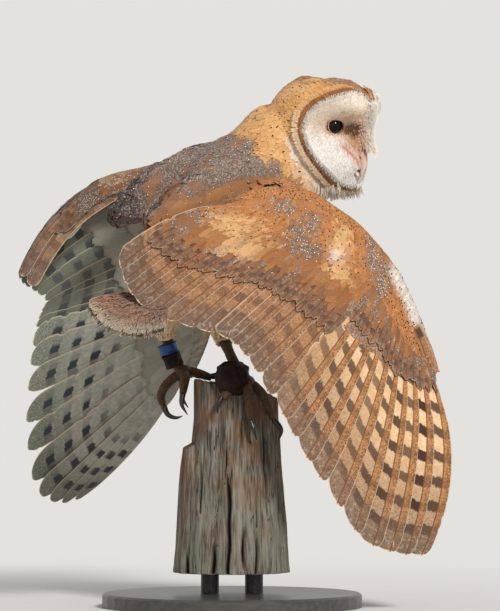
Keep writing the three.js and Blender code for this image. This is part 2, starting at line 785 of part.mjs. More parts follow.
for (const [side, leg] of Object.entries(LEGS)) {
  placeLeg(side, leg);
}
const cuff = [[7, 0], [12, 0.08], [18, 0.45], [15.5, 0.85], [8, 1]];
place('anklet_right', [legRing([1, -46, 212], [1, -44, 246], cuff)], FINISH.leather);
const ankletWall = [[7, 0], [9.5, 0], [9, 0.5], [10, 1], [7, 1]];
place('anklet_left', [legRing([-57, 11, 241], [-62, 9, 253], ankletWall)], FINISH.leather);
const bandWall = [[7.4, 0], [10.5, 0], [9.4, 0.3], [9.4, 0.7], [10.5, 1], [7.4, 1]];
place('band_left', [legRing([-62, 9, 254], [-65, 8, 263], bandWall)], FINISH.band);

place('trunk', [bodyTube(0, 0.66, 10)], FINISH.golden);
place('neck', [bodyTube(0.664, 1, 6)], FINISH.golden);
for (const [side, leg] of Object.entries(LEGS)) {
  place(`thigh_${side}`, [limb({ ...leg.thigh, across: [1, 0, 0], sides: 12, steps: 7 })], FINISH.white);
}

for (const [side, wing] of [['right', WING_RIGHT], ['left', WING_LEFT]]) {
  const { secondaries, primaries } = wing;
  const arm = sheetOf(wing, secondaries);
  const hand = sheetOf(wing, primaries);
  const upperArm = limb({ ...wing.upperArm, across: [0, 0, 1], sides: 12, steps: 5 });
  const scapulars = limb({
    ...wing.scapulars,
    widths: [16, 24, 25, 10],
    across: [0.3, -0.1, 0.95],
    sides: 10,
    steps: 7,
    round: 1.5,
  });
  const alula = limb({ ...wing.alula, across: [1, 0, 0.6], sides: 6, steps: 5 });
  place(`wing_${side}_upper_arm`, [upperArm], FINISH.golden);
  place(`scapulars_${side}`, [scapulars], FINISH.grey);
  const armFront = wingFront(arm, secondaries, { to: 0.997, columns: 9, thick: [4, 7, 9, 9, 8, 7, 6] });
  const handFront = wingFront(hand, primaries, { from: 0.01, columns: 6, thick: [6, 6, 5, 4, 3, 2] });
  place(`wing_${side}_arm`, [armFront], FINISH.golden);
  place(`wing_${side}_hand`, [handFront], FINISH.golden);
  const armFan = featherFan(arm, secondaries, {
    count: SECONDARIES, notch: () => 7, rows: 2, blunt: false,
  });
  const handFan = featherFan(hand, primaries, {
    count: PRIMARIES, notch: station => 9 + 26 * station, rows: 3,
  });
  place(`wing_${side}_alula`, [alula], FINISH.golden);
  place(`wing_${side}_secondaries`, [armFan], FINISH.flight);
  place(`wing_${side}_primaries`, [handFan], FINISH.flight);
}
const tailFan = featherFan(sheetOf(TAIL, TAIL), TAIL, {
  count: TAIL_FEATHERS, notch: () => 3, rows: 2, thick: 2.4, blunt: false,
});
place('tail', [tailFan], FINISH.flight);

export default owl;
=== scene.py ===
"""A life-size barn owl on a cut length of weathered post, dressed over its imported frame.

Metres, +Z up. The owl faces +X, with its head turned towards -Y. Every feather is a thin closed
vane in a joined mesh, rooted on one skin that stands for all the flesh of the frame.
"""

import logging
import math
from dataclasses import dataclass
from enum import Enum
from functools import cache
from typing import Callable

import bpy
import numpy as np
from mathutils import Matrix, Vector, noise
from mathutils.bvhtree import BVHTree


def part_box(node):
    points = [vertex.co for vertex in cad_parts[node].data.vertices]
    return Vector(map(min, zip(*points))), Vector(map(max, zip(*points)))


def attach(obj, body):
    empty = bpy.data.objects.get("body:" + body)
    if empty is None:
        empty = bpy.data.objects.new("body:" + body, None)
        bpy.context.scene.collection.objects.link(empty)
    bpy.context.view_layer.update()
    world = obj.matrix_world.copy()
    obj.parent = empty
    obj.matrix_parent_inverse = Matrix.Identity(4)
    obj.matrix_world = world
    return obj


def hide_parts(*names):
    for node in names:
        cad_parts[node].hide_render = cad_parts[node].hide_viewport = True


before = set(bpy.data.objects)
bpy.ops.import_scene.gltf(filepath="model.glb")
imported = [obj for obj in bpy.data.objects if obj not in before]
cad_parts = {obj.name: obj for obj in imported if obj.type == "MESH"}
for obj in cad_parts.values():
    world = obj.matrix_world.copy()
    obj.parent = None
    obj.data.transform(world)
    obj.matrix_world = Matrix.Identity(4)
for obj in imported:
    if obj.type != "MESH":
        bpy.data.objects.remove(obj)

log = logging.getLogger("barn_owl")
MM = 0.001
BODY = "root"
Array = np.ndarray
CM_IN_METRE = 100
CHORDAL = 1.0
ROOT_DEPTH = 0.0006
ROUND = 96
SAME_PLACE = 1e-5
SOFT_SHARE = 0.7


# ---------------------------------------------------------------- colours and small mathematics


def linear(code: str) -> tuple[float, float, float]:
    """Turns a colour written as six hexadecimal digits into linear light.

    Args:
        code: the colour, such as "e0a060".

    Returns:
        Red, green and blue from 0 to 1.
    """
    values = [int(code[i : i + 2], 16) / 255 for i in (0, 2, 4)]
    return tuple(v / 12.92 if v <= 0.04045 else ((v + 0.055) / 1.055) ** 2.4 for v in values)


class Tone(Enum):
    """The colours of the owl and of what carries it."""

    WHITE = "f6efe4"
    CREAM = "f2d9b8"
    PALE_GOLD = "eabd85"
    GOLD = "d99a58"
    ORANGE = "c17f4c"
    RUST = "a85a26"
    UMBER = "6d4428"
    BAR = "452c20"
    BLACK = "17100c"
    GREY = "8a7263"
    DARK_GREY = "584a42"
    PALE_GREY = "c9bcb0"
    SLATE = "3b3d42"
    PINK = "e3ab95"
    FLESH = "d98f7c"
    HORN = "e0c5b4"
    TOE = "553d21"
    TOE_DARK = "3a2715"
    CLAW = "17110e"
    LEATHER = "1e0f0b"
    BAND = "173f78"
    WOOD = "857f73"
    WOOD_DARK = "2e261f"
    WOOD_BROWN = "7b5335"
    WOOD_PALE = "b0a99b"
    BOARD = "35322f"
    FLOOR = "e4e2de"
    # the white of the wings' undersides, painted darker as shade
    SILVER = "a3a99a"
    # painted shade for the undersides of the flight feathers
    MOSS = "666a5a"
    SMOKE = "7a5f4c"
    EYE = "180d0a"
    PUPIL = "040303"
    TOE_PALE = "745630"
    LEATHER_WORN = "3b231a"
    WOOD_DEEP = "4a433b"
    LICHEN = "7b7f6c"
    BOARD_PALE = "4a4642"

    @property
    def rgb(self) -> Array:
        """The colour in linear light."""
        return np.array(linear(self.value))

    @property
    def rgba(self) -> tuple[float, float, float, float]:
        """The colour in linear light, opaque."""
        return (*linear(self.value), 1.0)


def unit(vectors: Array) -> Array:
    """Scales vectors to length one."""
    return vectors / np.maximum(np.linalg.norm(vectors, axis=-1, keepdims=True), 1e-12)


def ease(low: float, high: float, value: Array) -> Array:
    """Rises smoothly from 0 at low to 1 at high."""
    t = np.clip((value - low) / (high - low), 0.0, 1.0)
    return t * t * (3 - 2 * t)


def bell(distance: Array, width: float) -> Array:
    """Falls from 1 at no distance, like a bell as wide as width."""
    return np.exp(-((distance / width) ** 2))


def light(colour: object) -> Array:
    """A colour or an array of colours in linear light."""
    return colour.rgb if isinstance(colour, Tone) else colour


def blend(first: object, second: object, share: Array) -> Array:
    """Mixes two colours, or arrays of them, by a share for each row."""
    share = np.asarray(share)[..., None]
    return light(first) * (1 - share) + light(second) * share


def coloured(colour: object, *layers: tuple) -> Array:
    """Lays colours over one another, each as a colour and its share."""
    for layer, share in layers:
        colour = blend(colour, layer, share)
    return colour


def cloud(points: Array, size: float, seed: float = 0.0) -> Array:
    """Soft noise between about 0 and 1 with patches of a given size, in metres.

    Args:
        points: where it is read.
        size: how wide its patches are.
        seed: a number that picks one of many such noises.

    Returns:
        One number for each point.
    """
    shift = Vector((seed * 7.13, seed * 3.71, seed * 5.37))
    flat = points.reshape(-1, 3) / size
    values = [noise.noise(Vector(point) + shift) for point in flat]
    return np.clip(0.5 + 0.7 * np.array(values), 0, 1).reshape(points.shape[:-1])


def route(points: Array, at: Array, power: float = 0.5) -> Array:
    """Points on a smooth curve through a few given ones.

    Args:
        points: the given points, one row each, or plain numbers.
        at: places on the curve from 0 to 1.
        power: how much the spacing counts (0.5 centripetal, 1 chordal).

    Returns:
        One point for each place.
    """
    points = np.asarray(points, float)
    if points.ndim == 1:
        index = np.arange(len(points), dtype=float)
        return route(np.stack([points, index], axis=-1), at, power)[..., 0]
    last = len(points) - 1
    place = np.clip(np.asarray(at, float), 0, 1) * last
    start = np.minimum(place.astype(int), last - 1)
    share = (place - start)[..., None]
    padded = np.vstack([2 * points[0] - points[1], points, 2 * points[-1] - points[-2]])
    p = [padded[start + i] for i in range(4)]
    gaps = [np.linalg.norm(b - a, axis=-1, keepdims=True) for a, b in zip(p, p[1:])]
    d0, d1, d2 = (np.maximum(gap**power, 1e-9) for gap in gaps)
    slope1 = ((p[1] - p[0]) / d0 - (p[2] - p[0]) / (d0 + d1) + (p[2] - p[1]) / d1) * d1
    slope2 = ((p[2] - p[1]) / d1 - (p[3] - p[1]) / (d1 + d2) + (p[3] - p[2]) / d2) * d1
    square = (3 * (p[2] - p[1]) - 2 * slope1 - slope2) * share**2
    cube = (2 * (p[1] - p[2]) + slope1 + slope2) * share**3
    return p[1] + slope1 * share + square + cube


def turns(sides: int) -> Array:
    """Angles evenly round a circle."""
    return np.linspace(0, 2 * np.pi, sides, endpoint=False)


def outward(points: Array, corners: Array) -> Array:
    """Turns all the triangles of a closed shape to face outwards.

    Args:
        points: the points of the shape.
        corners: its triangles.

    Returns:
        The triangles, all the other way round if they faced inwards.
    """
    near = points - points.mean(axis=0)
    a, b, c = (near[corners[:, k]] for k in range(3))
    return corners if (a * np.cross(b, c)).sum() > 0 else corners[:, ::-1]


def walls(rings: int, sides: int, closed: bool) -> Array:
    """Triangles between rings of points, and from the last ring to the first if closed.

    Args:
        rings: how many rings.
        sides: points round each ring.
        closed: whether the last ring meets the first.

    Returns:
        The triangles, three numbers of points each.
    """
    i, j = np.meshgrid(np.arange(rings if closed else rings - 1), np.arange(sides), indexing="ij")
    a, b = i * sides + j, i * sides + (j + 1) % sides
    under = (i + 1) % rings * sides
    c, d = under + j, under + (j + 1) % sides
    return np.concatenate([np.stack([a, d, b], -1).reshape(-1, 3), np.stack([a, c, d], -1).reshape(-1, 3)])


# ---------------------------------------------------------------- finishes


Socket = bpy.types.NodeSocket
Material = bpy.types.Material
Piece = bpy.types.Object


@dataclass
class Nodes:
    """A node tree, with short calls for the nodes that the finishes are made of."""

    tree: bpy.types.NodeTree

    def node(self, kind: str, inputs: dict | None = None, **settings: object) -> bpy.types.Node:
        """Adds a node.

        Args:
            kind: its type without the ShaderNode prefix.
            inputs: values or sockets for its inputs.
            **settings: its own settings.

        Returns:
            The new node.
        """
        made = self.tree.nodes.new("ShaderNode" + kind)
        for key, value in settings.items():
            setattr(made, key, value)
        for key, value in (inputs or {}).items():
            self.feed(made.inputs[key], value)
        return made

    def feed(self, socket: Socket, value: object) -> None:
        """Gives an input a link, a tone or a number."""
        if isinstance(value, Socket):
            self.tree.links.new(value, socket)
        else:
            socket.default_value = value.rgba if isinstance(value, Tone) else value

    def math(self, operation: str, first: object, second: object = 0.0, clamp: bool = False) -> Socket:
        """One arithmetic step on two numbers."""
        return self.node("Math", {0: first, 1: second}, operation=operation, use_clamp=clamp).outputs[0]

    def times(self, first: object, second: object) -> Socket:
        """The product of two numbers."""
        return self.math("MULTIPLY", first, second)

    def plus(self, first: object, second: object) -> Socket:
        """The sum of two numbers."""
        return self.math("ADD", first, second)

    def minus(self, first: object, second: object) -> Socket:
        """The difference of two numbers."""
        return self.math("SUBTRACT", first, second)

    def mix(self, share: object, first: object, second: object, how: str = "MIX") -> Socket:
        """Mixes two colours by a share from 0 to 1."""
        return self.node("Mix", {0: share, 6: first, 7: second}, data_type="RGBA", blend_type=how).outputs[2]

    def step(self, value: object, low: float, high: float, bottom: float = 0.0, top: float = 1.0) -> Socket:
        """Rises smoothly from bottom to top as value goes from low to high."""
        inputs = {0: value, 1: low, 2: high, 3: bottom, 4: top}
        return self.node("MapRange", inputs, interpolation_type="SMOOTHSTEP").outputs[0]

    def places(self, scale: tuple[float, float, float] = (1, 1, 1)) -> Socket:
        """Object coordinates, stretched along each axis."""
        coordinates = self.node("TexCoord").outputs["Object"]
        return self.node("Mapping", {"Vector": coordinates, "Scale": scale}).outputs[0]

    def grain(self, vector: Socket, scale: float, detail: float = 2.0, rough: float = 0.55) -> Socket:
        """Noise between 0 and 1."""
        inputs = {"Vector": vector, "Scale": scale, "Detail": detail, "Roughness": rough}
        return self.node("TexNoise", inputs).outputs["Fac"]

    def attribute(self, name: str) -> bpy.types.Node:
        """Reads an attribute of the mesh."""
        return self.node("Attribute", attribute_name=name)

    def parts(self, vector: Socket) -> tuple[Socket, Socket, Socket]:
        """Splits a vector or colour into its three numbers."""
        return tuple(self.node("SeparateXYZ", {0: vector}).outputs)

    def vane(self) -> tuple[Socket, ...]:
        """A feather's tint, its three marks, and its place across, back from the tip and along."""
        marks = self.parts(self.attribute("marks").outputs["Vector"])
        place = self.parts(self.attribute("vane").outputs["Vector"])
        return self.attribute("tint").outputs["Color"], *marks, *place

    def over(self, colour: object, *layers: tuple) -> Socket:
        """Lays colours over one another, each as a share and a colour."""
        for share, layer in layers:
            colour = self.mix(share, colour, layer)
        return colour


class Graph(Nodes):
    """The node tree of a material with one principled shader."""

    def __init__(self, name: str, **values: float) -> None:
        """Starts the material.

        Args:
            name: the material's name.
            **values: the shader's plain values, in lower case with underscores.
        """
        self.material = bpy.data.materials.new(name)
        self.material.use_nodes = True
        super().__init__(self.material.node_tree)
        self.shader = self.tree.nodes["Principled BSDF"]
        for key, value in values.items():
            self.shader.inputs[key.replace("_", " ").title().replace("Ior", "IOR")].default_value = value

    def paint(
        self, colour: Socket, height: Socket | None = None, distance: float = 0.0, strength: float = 0.0
    ) -> Material:
        """Sets the shader's colour and its fine relief.

        Args:
            colour: the colour.
            height: the relief, or None.
            distance: how high it is, in metres.
            strength: how much it shows.

        Returns:
            The finished material.
        """
        self.feed(self.shader.inputs["Base Color"], colour)
        if height:
            bump = self.node("Bump", {"Height": height, "Distance": distance, "Strength": strength})
            self.feed(self.shader.inputs["Normal"], bump.outputs[0])
        return self.material


@dataclass(frozen=True)
class Plumage:
    """Body feathers and coverts, and the skin below them.

    Each vane carries its tint, its marks (dot, grey vermiculation, dark rim) and its own
    measures in centimetres (across, back from the tip) with its share of the length.
    """

    name: str = "plumage"
    grain_size: float = 0.0011
    dot_back: float = 0.14

    def make(self) -> Material:
        """Builds the material."""
        g = Graph(self.name, roughness=0.85, specular_ior_level=0.18, sheen_weight=0.12, sheen_roughness=0.6)
        tint, dot, grey, rim, across, back, share = g.vane()
        here = g.places()
        fine = g.grain(here, 1 / self.grain_size, 2.0, 0.6)
        coarse = g.grain(here, 0.6 / self.grain_size, 2.0, 0.6)
        shade = g.step(g.plus(fine, g.times(coarse, 0.8)), 0.7, 1.1, 0.8, 1.08)
        colour = g.mix(1.0, tint, g.node("CombineXYZ", {0: shade, 1: shade, 2: shade}).outputs[0], "MULTIPLY")
        flecks = g.times(g.step(coarse, 0.46, 0.58, 0.0, 0.85), grey)
        flecks = g.times(flecks, g.step(fine, 0.4, 0.55, 0.5, 1.0))
        colour = g.mix(flecks, colour, g.mix(g.step(grey, 0.55, 0.9), Tone.UMBER, Tone.DARK_GREY))
        pale = g.grain(here, 0.75 / self.grain_size, 1.0)
        specks = g.times(g.step(pale, 0.52, 0.62, 0.0, 0.5), g.step(grey, 0.6, 0.95))
        colour = g.mix(specks, colour, Tone.PALE_GREY)
        barbs = g.node("CombineXYZ", {0: g.times(across, 26.0), 1: g.times(back, 5.0)})
        streak = g.grain(barbs.outputs[0], 1.0, 1.0)
        edge = g.times(rim, g.step(share, 0.8, 1.0))
        colour = g.mix(g.times(edge, 0.75), colour, Tone.UMBER)
        aside = g.math("ABSOLUTE", across)
        along = g.times(g.minus(back, self.dot_back), 0.7)
        away = g.math("SQRT", g.plus(g.math("POWER", aside, 2.0), g.math("POWER", along, 2.0)))
        ring = g.times(g.step(away, 0.085, 0.055), g.step(dot, 0.2, 0.3))
        colour = g.mix(ring, colour, Tone.BLACK)
        pearl = g.times(g.step(away, 0.055, 0.035), g.step(dot, 0.7, 0.8))
        colour = g.mix(pearl, colour, Tone.WHITE)
        return g.paint(colour, g.plus(streak, g.times(fine, 0.6)), 0.0002, 0.5)


@dataclass(frozen=True)
class FlightPlumage:
    """Barred flight feathers: an orange outer web, a pale barred inner web and a dark shaft.

    Each vane carries its tint for the outer web, marks (bars, grey, pale inner web) and its own
    measures in centimetres (across, positive on the outer web, and back from the tip).
    """

    name: str = "flight_plumage"
    bar_spacing: float = 2.45
    first_bar: float = 2.5
    bar_width: float = 0.95

    def make(self) -> Material:
        """Builds the material."""
        g = Graph(self.name, roughness=0.8, specular_ior_level=0.2, sheen_weight=0.08, sheen_roughness=0.6)
        tint, bars, grey, pale, across, back, _ = g.vane()
        under = g.attribute("under").outputs["Fac"]
        aside = g.math("ABSOLUTE", across)
        here = g.places()
        fine = g.grain(here, 850.0, 2.0, 0.6)
        blotch = g.grain(here, 230.0, 2.0, 0.6)
        inner = g.step(across, 0.02, -0.05)
        speckle = g.step(fine, 0.47, 0.6)

        mottle = g.step(g.grain(here, 430.0, 3.0, 0.65), 0.42, 0.6)
        web = g.mix(g.times(g.step(blotch, 0.4, 0.65), 0.3), tint, Tone.GOLD)
        web = g.mix(g.times(mottle, 0.5), web, Tone.UMBER)
        freckled = g.times(speckle, g.step(aside, 0.1, 0.65, 0.4, 0.95))
        outer_web = g.mix(freckled, web, Tone.DARK_GREY)
        white_web = g.mix(g.step(blotch, 0.35, 0.7, 0.1, 0.8), Tone.PALE_GOLD, Tone.CREAM)
        white_web = g.mix(g.step(back, 12.0, 4.0, 0.0, 0.55), white_web, Tone.SMOKE)
        inner_web = g.mix(pale, web, white_web)
        inner_web = g.mix(g.times(speckle, g.step(back, 11.0, 2.0, 0.15, 0.75)), inner_web, Tone.SMOKE)
        colour = g.mix(inner, outer_web, inner_web)

        ragged = g.plus(back, g.times(g.minus(blotch, 0.5), 0.7))
        ragged = g.plus(ragged, g.times(aside, -0.22))
        phase = g.math("DIVIDE", g.minus(ragged, self.first_bar), self.bar_spacing)
        off_bar = g.math("ABSOLUTE", g.minus(phase, g.math("ROUND", phase)))
        half = self.bar_width / self.bar_spacing / 2
        bar = g.step(off_bar, half + 0.05, half - 0.03)
        bar = g.times(bar, g.step(back, self.first_bar - 0.9, self.first_bar - 0.6))
        reach = g.mix(inner, (0.38, 0.38, 0.38, 1.0), (1.0, 1.0, 1.0, 1.0))
        reach = g.times(reach, g.step(aside, 1.9, 1.2, 0.35, 1.0))
        bar = g.times(g.times(bar, reach), bars)
        colour = g.mix(bar, colour, Tone.BAR)

        tip = g.times(g.step(g.plus(back, g.times(blotch, 1.6)), 5.2, 1.6), grey)
        misty = g.mix(g.step(fine, 0.35, 0.65), Tone.SMOKE, Tone.DARK_GREY)
        misty = g.mix(g.step(blotch, 0.5, 0.7, 0.0, 0.4), misty, Tone.PALE_GREY)
        colour = g.mix(g.times(tip, 0.85), colour, misty)

        # painted shade: the underside's white is painted darker
        below = g.mix(g.step(blotch, 0.3, 0.8), Tone.SILVER, Tone.PALE_GREY)
        # grey towards the tips: partly the feathers' own smoky tips, partly painted shade
        tip_smoke_and_shade = g.times(g.step(fine, 0.2, 0.6), g.step(back, 8.0, 1.0, 0.0, 0.95))
        below = g.mix(tip_smoke_and_shade, below, Tone.MOSS)
        # painted shade: undersides without a pale inner web, as on the secondaries, are darkened
        below = g.mix(g.step(pale, 0.4, 0.1, 0.0, 0.75), below, Tone.MOSS)
        patch = g.times(bar, g.step(back, 12.0, 7.0, 0.2, 1.5))
        patch = g.math("MULTIPLY", patch, g.step(aside, 1.1, 0.6, 0.25, 1.0), clamp=True)
        below = g.mix(patch, below, Tone.SLATE)
        colour = g.mix(under, colour, below)

        web = g.parts(g.node("UVMap", uv_map="Vane").outputs[0])[0]
        margin = g.step(g.math("ABSOLUTE", g.minus(web, 0.5)), 0.44, 0.49, 0.0, 0.45)
        rim = g.math("MAXIMUM", g.step(back, 0.22, 0.06, 0.0, 0.7), margin)
        colour = g.mix(rim, colour, Tone.CREAM)
        shaft = g.times(g.step(aside, 0.085, 0.045), g.step(under, 0.0, 1.0, 0.85, 0.25))
        colour = g.mix(shaft, colour, Tone.UMBER)
        slant = g.minus(g.times(back, 9.0), g.times(aside, 7.0))
        barbs = g.node("CombineXYZ", {0: slant, 1: g.times(across, 0.6), 2: 0.0}).outputs[0]
        relief = g.plus(g.grain(barbs, 1.6, 2.0), g.times(fine, 0.25))
        return g.paint(colour, relief, 0.0005, 0.45)


@cache
def dressed(finish: object) -> Material:
    """Makes the material of a finish, once."""
    return finish.make()


# ---------------------------------------------------------------- vanes: every feather of the coat


def template(rows: int, columns: int, full: bool) -> tuple[Array, Array, int]:
    """The triangles of one closed vane.

    Args:
        rows: rings of points from the root to the last one before the tip.
        columns: points across.
        full: whether the underside has points of its own between the edges.

    Returns:
        The triangles of the upper side and of the underside, and the number of points: the upper
        grid, the tip, and then the underside's inner grid.
    """
    tip = rows * columns
    top = lambda r, c: r * columns + c
    inner = lambda r, c: tip + 1 + r * (columns - 2) + (c - 1)
    low = lambda r, c: top(r, c) if c in (0, columns - 1) else inner(r, c)
    lows = list(range(columns)) if full else [0, columns - 1]
    upper, under = [], []
    for r in range(rows - 1):
        for c in range(columns - 1):
            upper += [(top(r, c), top(r, c + 1), top(r + 1, c + 1)), (top(r, c), top(r + 1, c + 1), top(r + 1, c))]
        for a, b in zip(lows, lows[1:]):
            under += [(low(r, a), low(r + 1, b), low(r, b)), (low(r, a), low(r + 1, a), low(r + 1, b))]
    upper += [(top(rows - 1, c), top(rows - 1, c + 1), tip) for c in range(columns - 1)]
    under += [(low(rows - 1, b), low(rows - 1, a), tip) for a, b in zip(lows, lows[1:])]
    for c in range(1, columns - 1):
        if not full:
            under.append((top(0, 0), top(0, c + 1), top(0, c)))
            continue
        under.append((inner(0, c), top(0, c), low(0, c - 1)))
        if c > 1:
            under.append((top(0, c), top(0, c - 1), inner(0, c - 1)))
    if full:
        under.append((top(0, columns - 1), top(0, columns - 2), inner(0, columns - 2)))
    return np.array(upper), np.array(under), tip + 1 + (rows * (columns - 2) if full else 0)


@dataclass
class Vanes:
    """Feathers with one common outline, joined into one mesh.

    Attributes:
        line: shafts, feathers by rows by 3, the last row at the tip.
        normal: unit vectors out of the upper side, shaped like line.
        half: half widths, feathers by rows, or by rows by 2 (inner web, outer web).
        tint: colours in linear light, one for each feather or for each of its rows.
        marks: three numbers for the finish, for each feather or for all.
        across: unit vectors towards the outer web, or None where they are square to the rest.
        patch: the middle of each feather's patch on the bake map, or None for wide islands.
        soft: directions that the light sees in place of the vane's own, or None.
        columns: points across.
        dome: how far the middle stands up, as a share of the half width.
        thick: how thick the vane is, in metres.
        full: whether the underside has points of its own between the edges.
        tilt: how far the outer edge is raised over the inner one.
        patch_size: how wide each patch is.
        margin: free border of an island of the bake map.
        slenderness: about how many times longer than wide an island is.
    """

    line: Array
    normal: Array
    half: Array
    tint: Array
    marks: Array | tuple = (0.0, 0.0, 0.0)
    across: Array | None = None
    patch: Array | None = None
    soft: Array | None = None
    columns: int = 3
    dome: float = 0.25
    thick: float = 0.0003
    full: bool = False
    tilt: float = 0.0
    patch_size: float = 0.003
    margin: float = 0.04
    slenderness: int = 6

    def spread(self, values: Array) -> Array:
        """Lays values for every ring, or ring and column, over the points of each vane."""
        if values.ndim == 3:
            values = np.repeat(values[:, :, None], self.columns, axis=2)
        low = values[:, :-1, 1:-1] if self.full else values[:, :0]
        layers = (values[:, :-1], values[:, -1, self.columns // 2], low)
        return np.concatenate([layer.reshape(len(values), -1, values.shape[-1]) for layer in layers], axis=1)

    def build(self, name: str, finish: object, slot: str, node: str = "") -> Piece:
        """Joins the feathers into a finished piece.

        Args:
            name: the piece's name.
            finish: its finish.
            slot: the material slot that it belongs to.
            node: the node that it stands for, if any.

        Returns:
            The piece, riding on the body.
        """
        count, rings = self.line.shape[0], self.line.shape[1] - 1
        cols = np.linspace(-1, 1, self.columns)
        upper, under, size = template(rings, self.columns, self.full)
        square = np.cross(unit(np.gradient(self.line, axis=1)), self.normal)
        across = unit(square) if self.across is None else self.across
        hand = np.where((square * across).sum(axis=(1, 2)) < 0, -1.0, 1.0)[:, None, None]
        half = self.half if self.half.ndim == 3 else np.stack([self.half, self.half], axis=-1)
        half = np.where(hand < 0, half[:, :, ::-1], half)
        tint = self.tint if self.tint.ndim == 3 else shade_along(self.tint, rings + 1)
        reach = half[:, :, (cols > 0).astype(int)] * cols
        raised = self.dome * (1 - cols**2) * half.mean(axis=2)[..., None] + self.tilt * reach * hand
        sideways = (across * hand)[:, :, None] * reach[..., None]
        points = self.spread(self.line[:, :, None] + sideways + self.normal[:, :, None] * raised[..., None])
        top = rings * self.columns + 1
        points[:, top:] -= self.spread(self.normal)[:, top:] * self.thick
        steps = np.linalg.norm(np.diff(self.line, axis=1), axis=2)
        back = np.concatenate([np.cumsum(steps[:, ::-1], axis=1)[:, ::-1], np.zeros((count, 1))], axis=1)
        share = np.linspace(0, 1, rings + 1)[None, :, None]
        sizes = (reach * hand * CM_IN_METRE, back[..., None] * CM_IN_METRE, share)
        vane = self.spread(np.stack(np.broadcast_arrays(*sizes), axis=-1))
        facing = self.normal if self.soft is None else unit(self.normal * (1 - SOFT_SHARE) + self.soft * SOFT_SHARE)
        faces = np.concatenate([upper, under])
        is_under = np.tile(np.arange(len(faces)) >= len(upper), count)
        loops = (faces[None] + (np.arange(count) * size)[:, None, None]).reshape(-1)
        mesh = triangle_mesh(name, points.reshape(-1, 3), loops)
        put(mesh, "vane", "POINT", vane.reshape(-1, 3))
        put(mesh, "tint", "POINT", opaque(self.spread(tint).reshape(-1, 3)))
        put(mesh, "marks", "POINT", np.repeat(np.broadcast_to(self.marks, (count, 3)), size, axis=0))
        put(mesh, "under", "FACE", is_under.astype(float))
        corner = points.reshape(-1, 3)[loops].reshape(-1, 3, 3)
        flat_way = unit(np.cross(corner[:, 1] - corner[:, 0], corner[:, 2] - corner[:, 0])).repeat(3, axis=0)
        below = np.repeat(is_under, 3)
        facings = self.spread(facing).reshape(-1, 3)[loops]
        turned = below & ((facings * flat_way).sum(axis=1) < (0 if self.soft is None else -0.3))
        edge_of = np.zeros(len(loops), np.int32)
        mesh.loops.foreach_get("edge_index", edge_of)
        outline = [np.bincount(edge_of[part], minlength=len(mesh.edges)) > 0 for part in (below, ~below)]
        mesh.edges.foreach_set("use_edge_sharp", outline[0] & outline[1])
        put(mesh, "custom_normal", "CORNER", np.where(turned[:, None], -facings, facings))
        webs = np.broadcast_to(cols[None, None, :, None], (count, rings + 1, self.columns, 1))
        own = np.concatenate([self.spread(webs) * 0.5 + 0.5, vane[..., 2:]], axis=-1).reshape(-1, 2)[loops]
        self.map_uv(mesh, own, loops // size, below, count)
        return finish_piece(placed(name, mesh), finish, slot, node)

    def map_uv(self, mesh: bpy.types.Mesh, own: Array, feather: Array, below: Array, count: int) -> None:
        """Writes the vane's own map and the bake map.

        Args:
            mesh: the joined mesh.
            own: places across and along the vane, from 0 to 1, for every face corner.
            feather: the feather that each corner is part of.
            below: whether each corner is on the underside.
            count: the number of feathers.
        """
        if self.patch is not None:
            place = self.patch[feather] + (own - 0.5) * self.patch_size
        else:
            lanes = math.ceil(math.sqrt(count * 2 * self.slenderness))
            stack = math.ceil(count * 2 / lanes)
            island = feather * 2 + below
            origin = np.stack([(island % lanes) / lanes, (island // lanes) / stack], axis=1)
            place = origin + (own * (1 - 2 * self.margin) + self.margin) / np.array([lanes, stack])
        for title, values in (("Vane", own), ("OFBake", place)):
            layer = mesh.uv_layers.new(name=title)
            layer.data.foreach_set("uv", np.ascontiguousarray(values, np.float32).ravel())


def shade_along(tint: Array, rings: int) -> Array:
    """Spreads one colour for each feather along its length, darker where other feathers cover it."""
    share = np.linspace(0, 1, rings)[None, :, None]
    return tint[:, None, :] * (0.86 + 0.16 * share)


def joined(batches: list[dict]) -> dict:
    """Joins batches of feathers, each given as the arrays of a Vanes."""
    return {key: np.concatenate([batch[key] for batch in batches]) for key in batches[0]}


def square_to(line: Array, facing: Array) -> Array:
    """Unit vectors near facing and square to the lines."""
    along = unit(np.gradient(line, axis=1))
    return unit(facing - along * (facing * along).sum(axis=2, keepdims=True))


def triangle_mesh(name: str, points: Array, loops: Array) -> bpy.types.Mesh:
    """Makes a mesh of triangles from arrays of points and corners.

    Args:
        name: its name.
        points: its points.
        loops: three numbers of points for each triangle, in one row.

    Returns:
        The mesh, smooth and with its edges.
    """
    mesh = bpy.data.meshes.new(name)
    mesh.vertices.add(len(points))
    mesh.vertices.foreach_set("co", np.ascontiguousarray(points, np.float32).ravel())
    mesh.loops.add(len(loops))
    mesh.loops.foreach_set("vertex_index", loops.astype(np.int32))
    mesh.polygons.add(len(loops) // 3)
    mesh.polygons.foreach_set("loop_start", np.arange(0, len(loops), 3, dtype=np.int32))
    mesh.update(calc_edges=True)
    mesh.shade_smooth()
    return mesh


def put(mesh: bpy.types.Mesh, name: str, domain: str, values: Array) -> None:
    """Stores an array of numbers, vectors or colours as an attribute of a mesh."""
    width = 1 if values.ndim == 1 else values.shape[1]
    kind, key = {1: ("FLOAT", "value"), 3: ("FLOAT_VECTOR", "vector"), 4: ("FLOAT_COLOR", "color")}[width]
    made = mesh.attributes.new(name, kind, domain)
    made.data.foreach_set(key, np.ascontiguousarray(values, np.float32).ravel())


def opaque(colours: Array) -> Array:
    """Colours with a fourth number of one."""
    return np.hstack([colours, np.ones((len(colours), 1))])


def placed(name: str, data: object) -> Piece:
    """Puts an object with some data into the scene."""
    made = bpy.data.objects.new(name, data)
    bpy.context.scene.collection.objects.link(made)
    return made


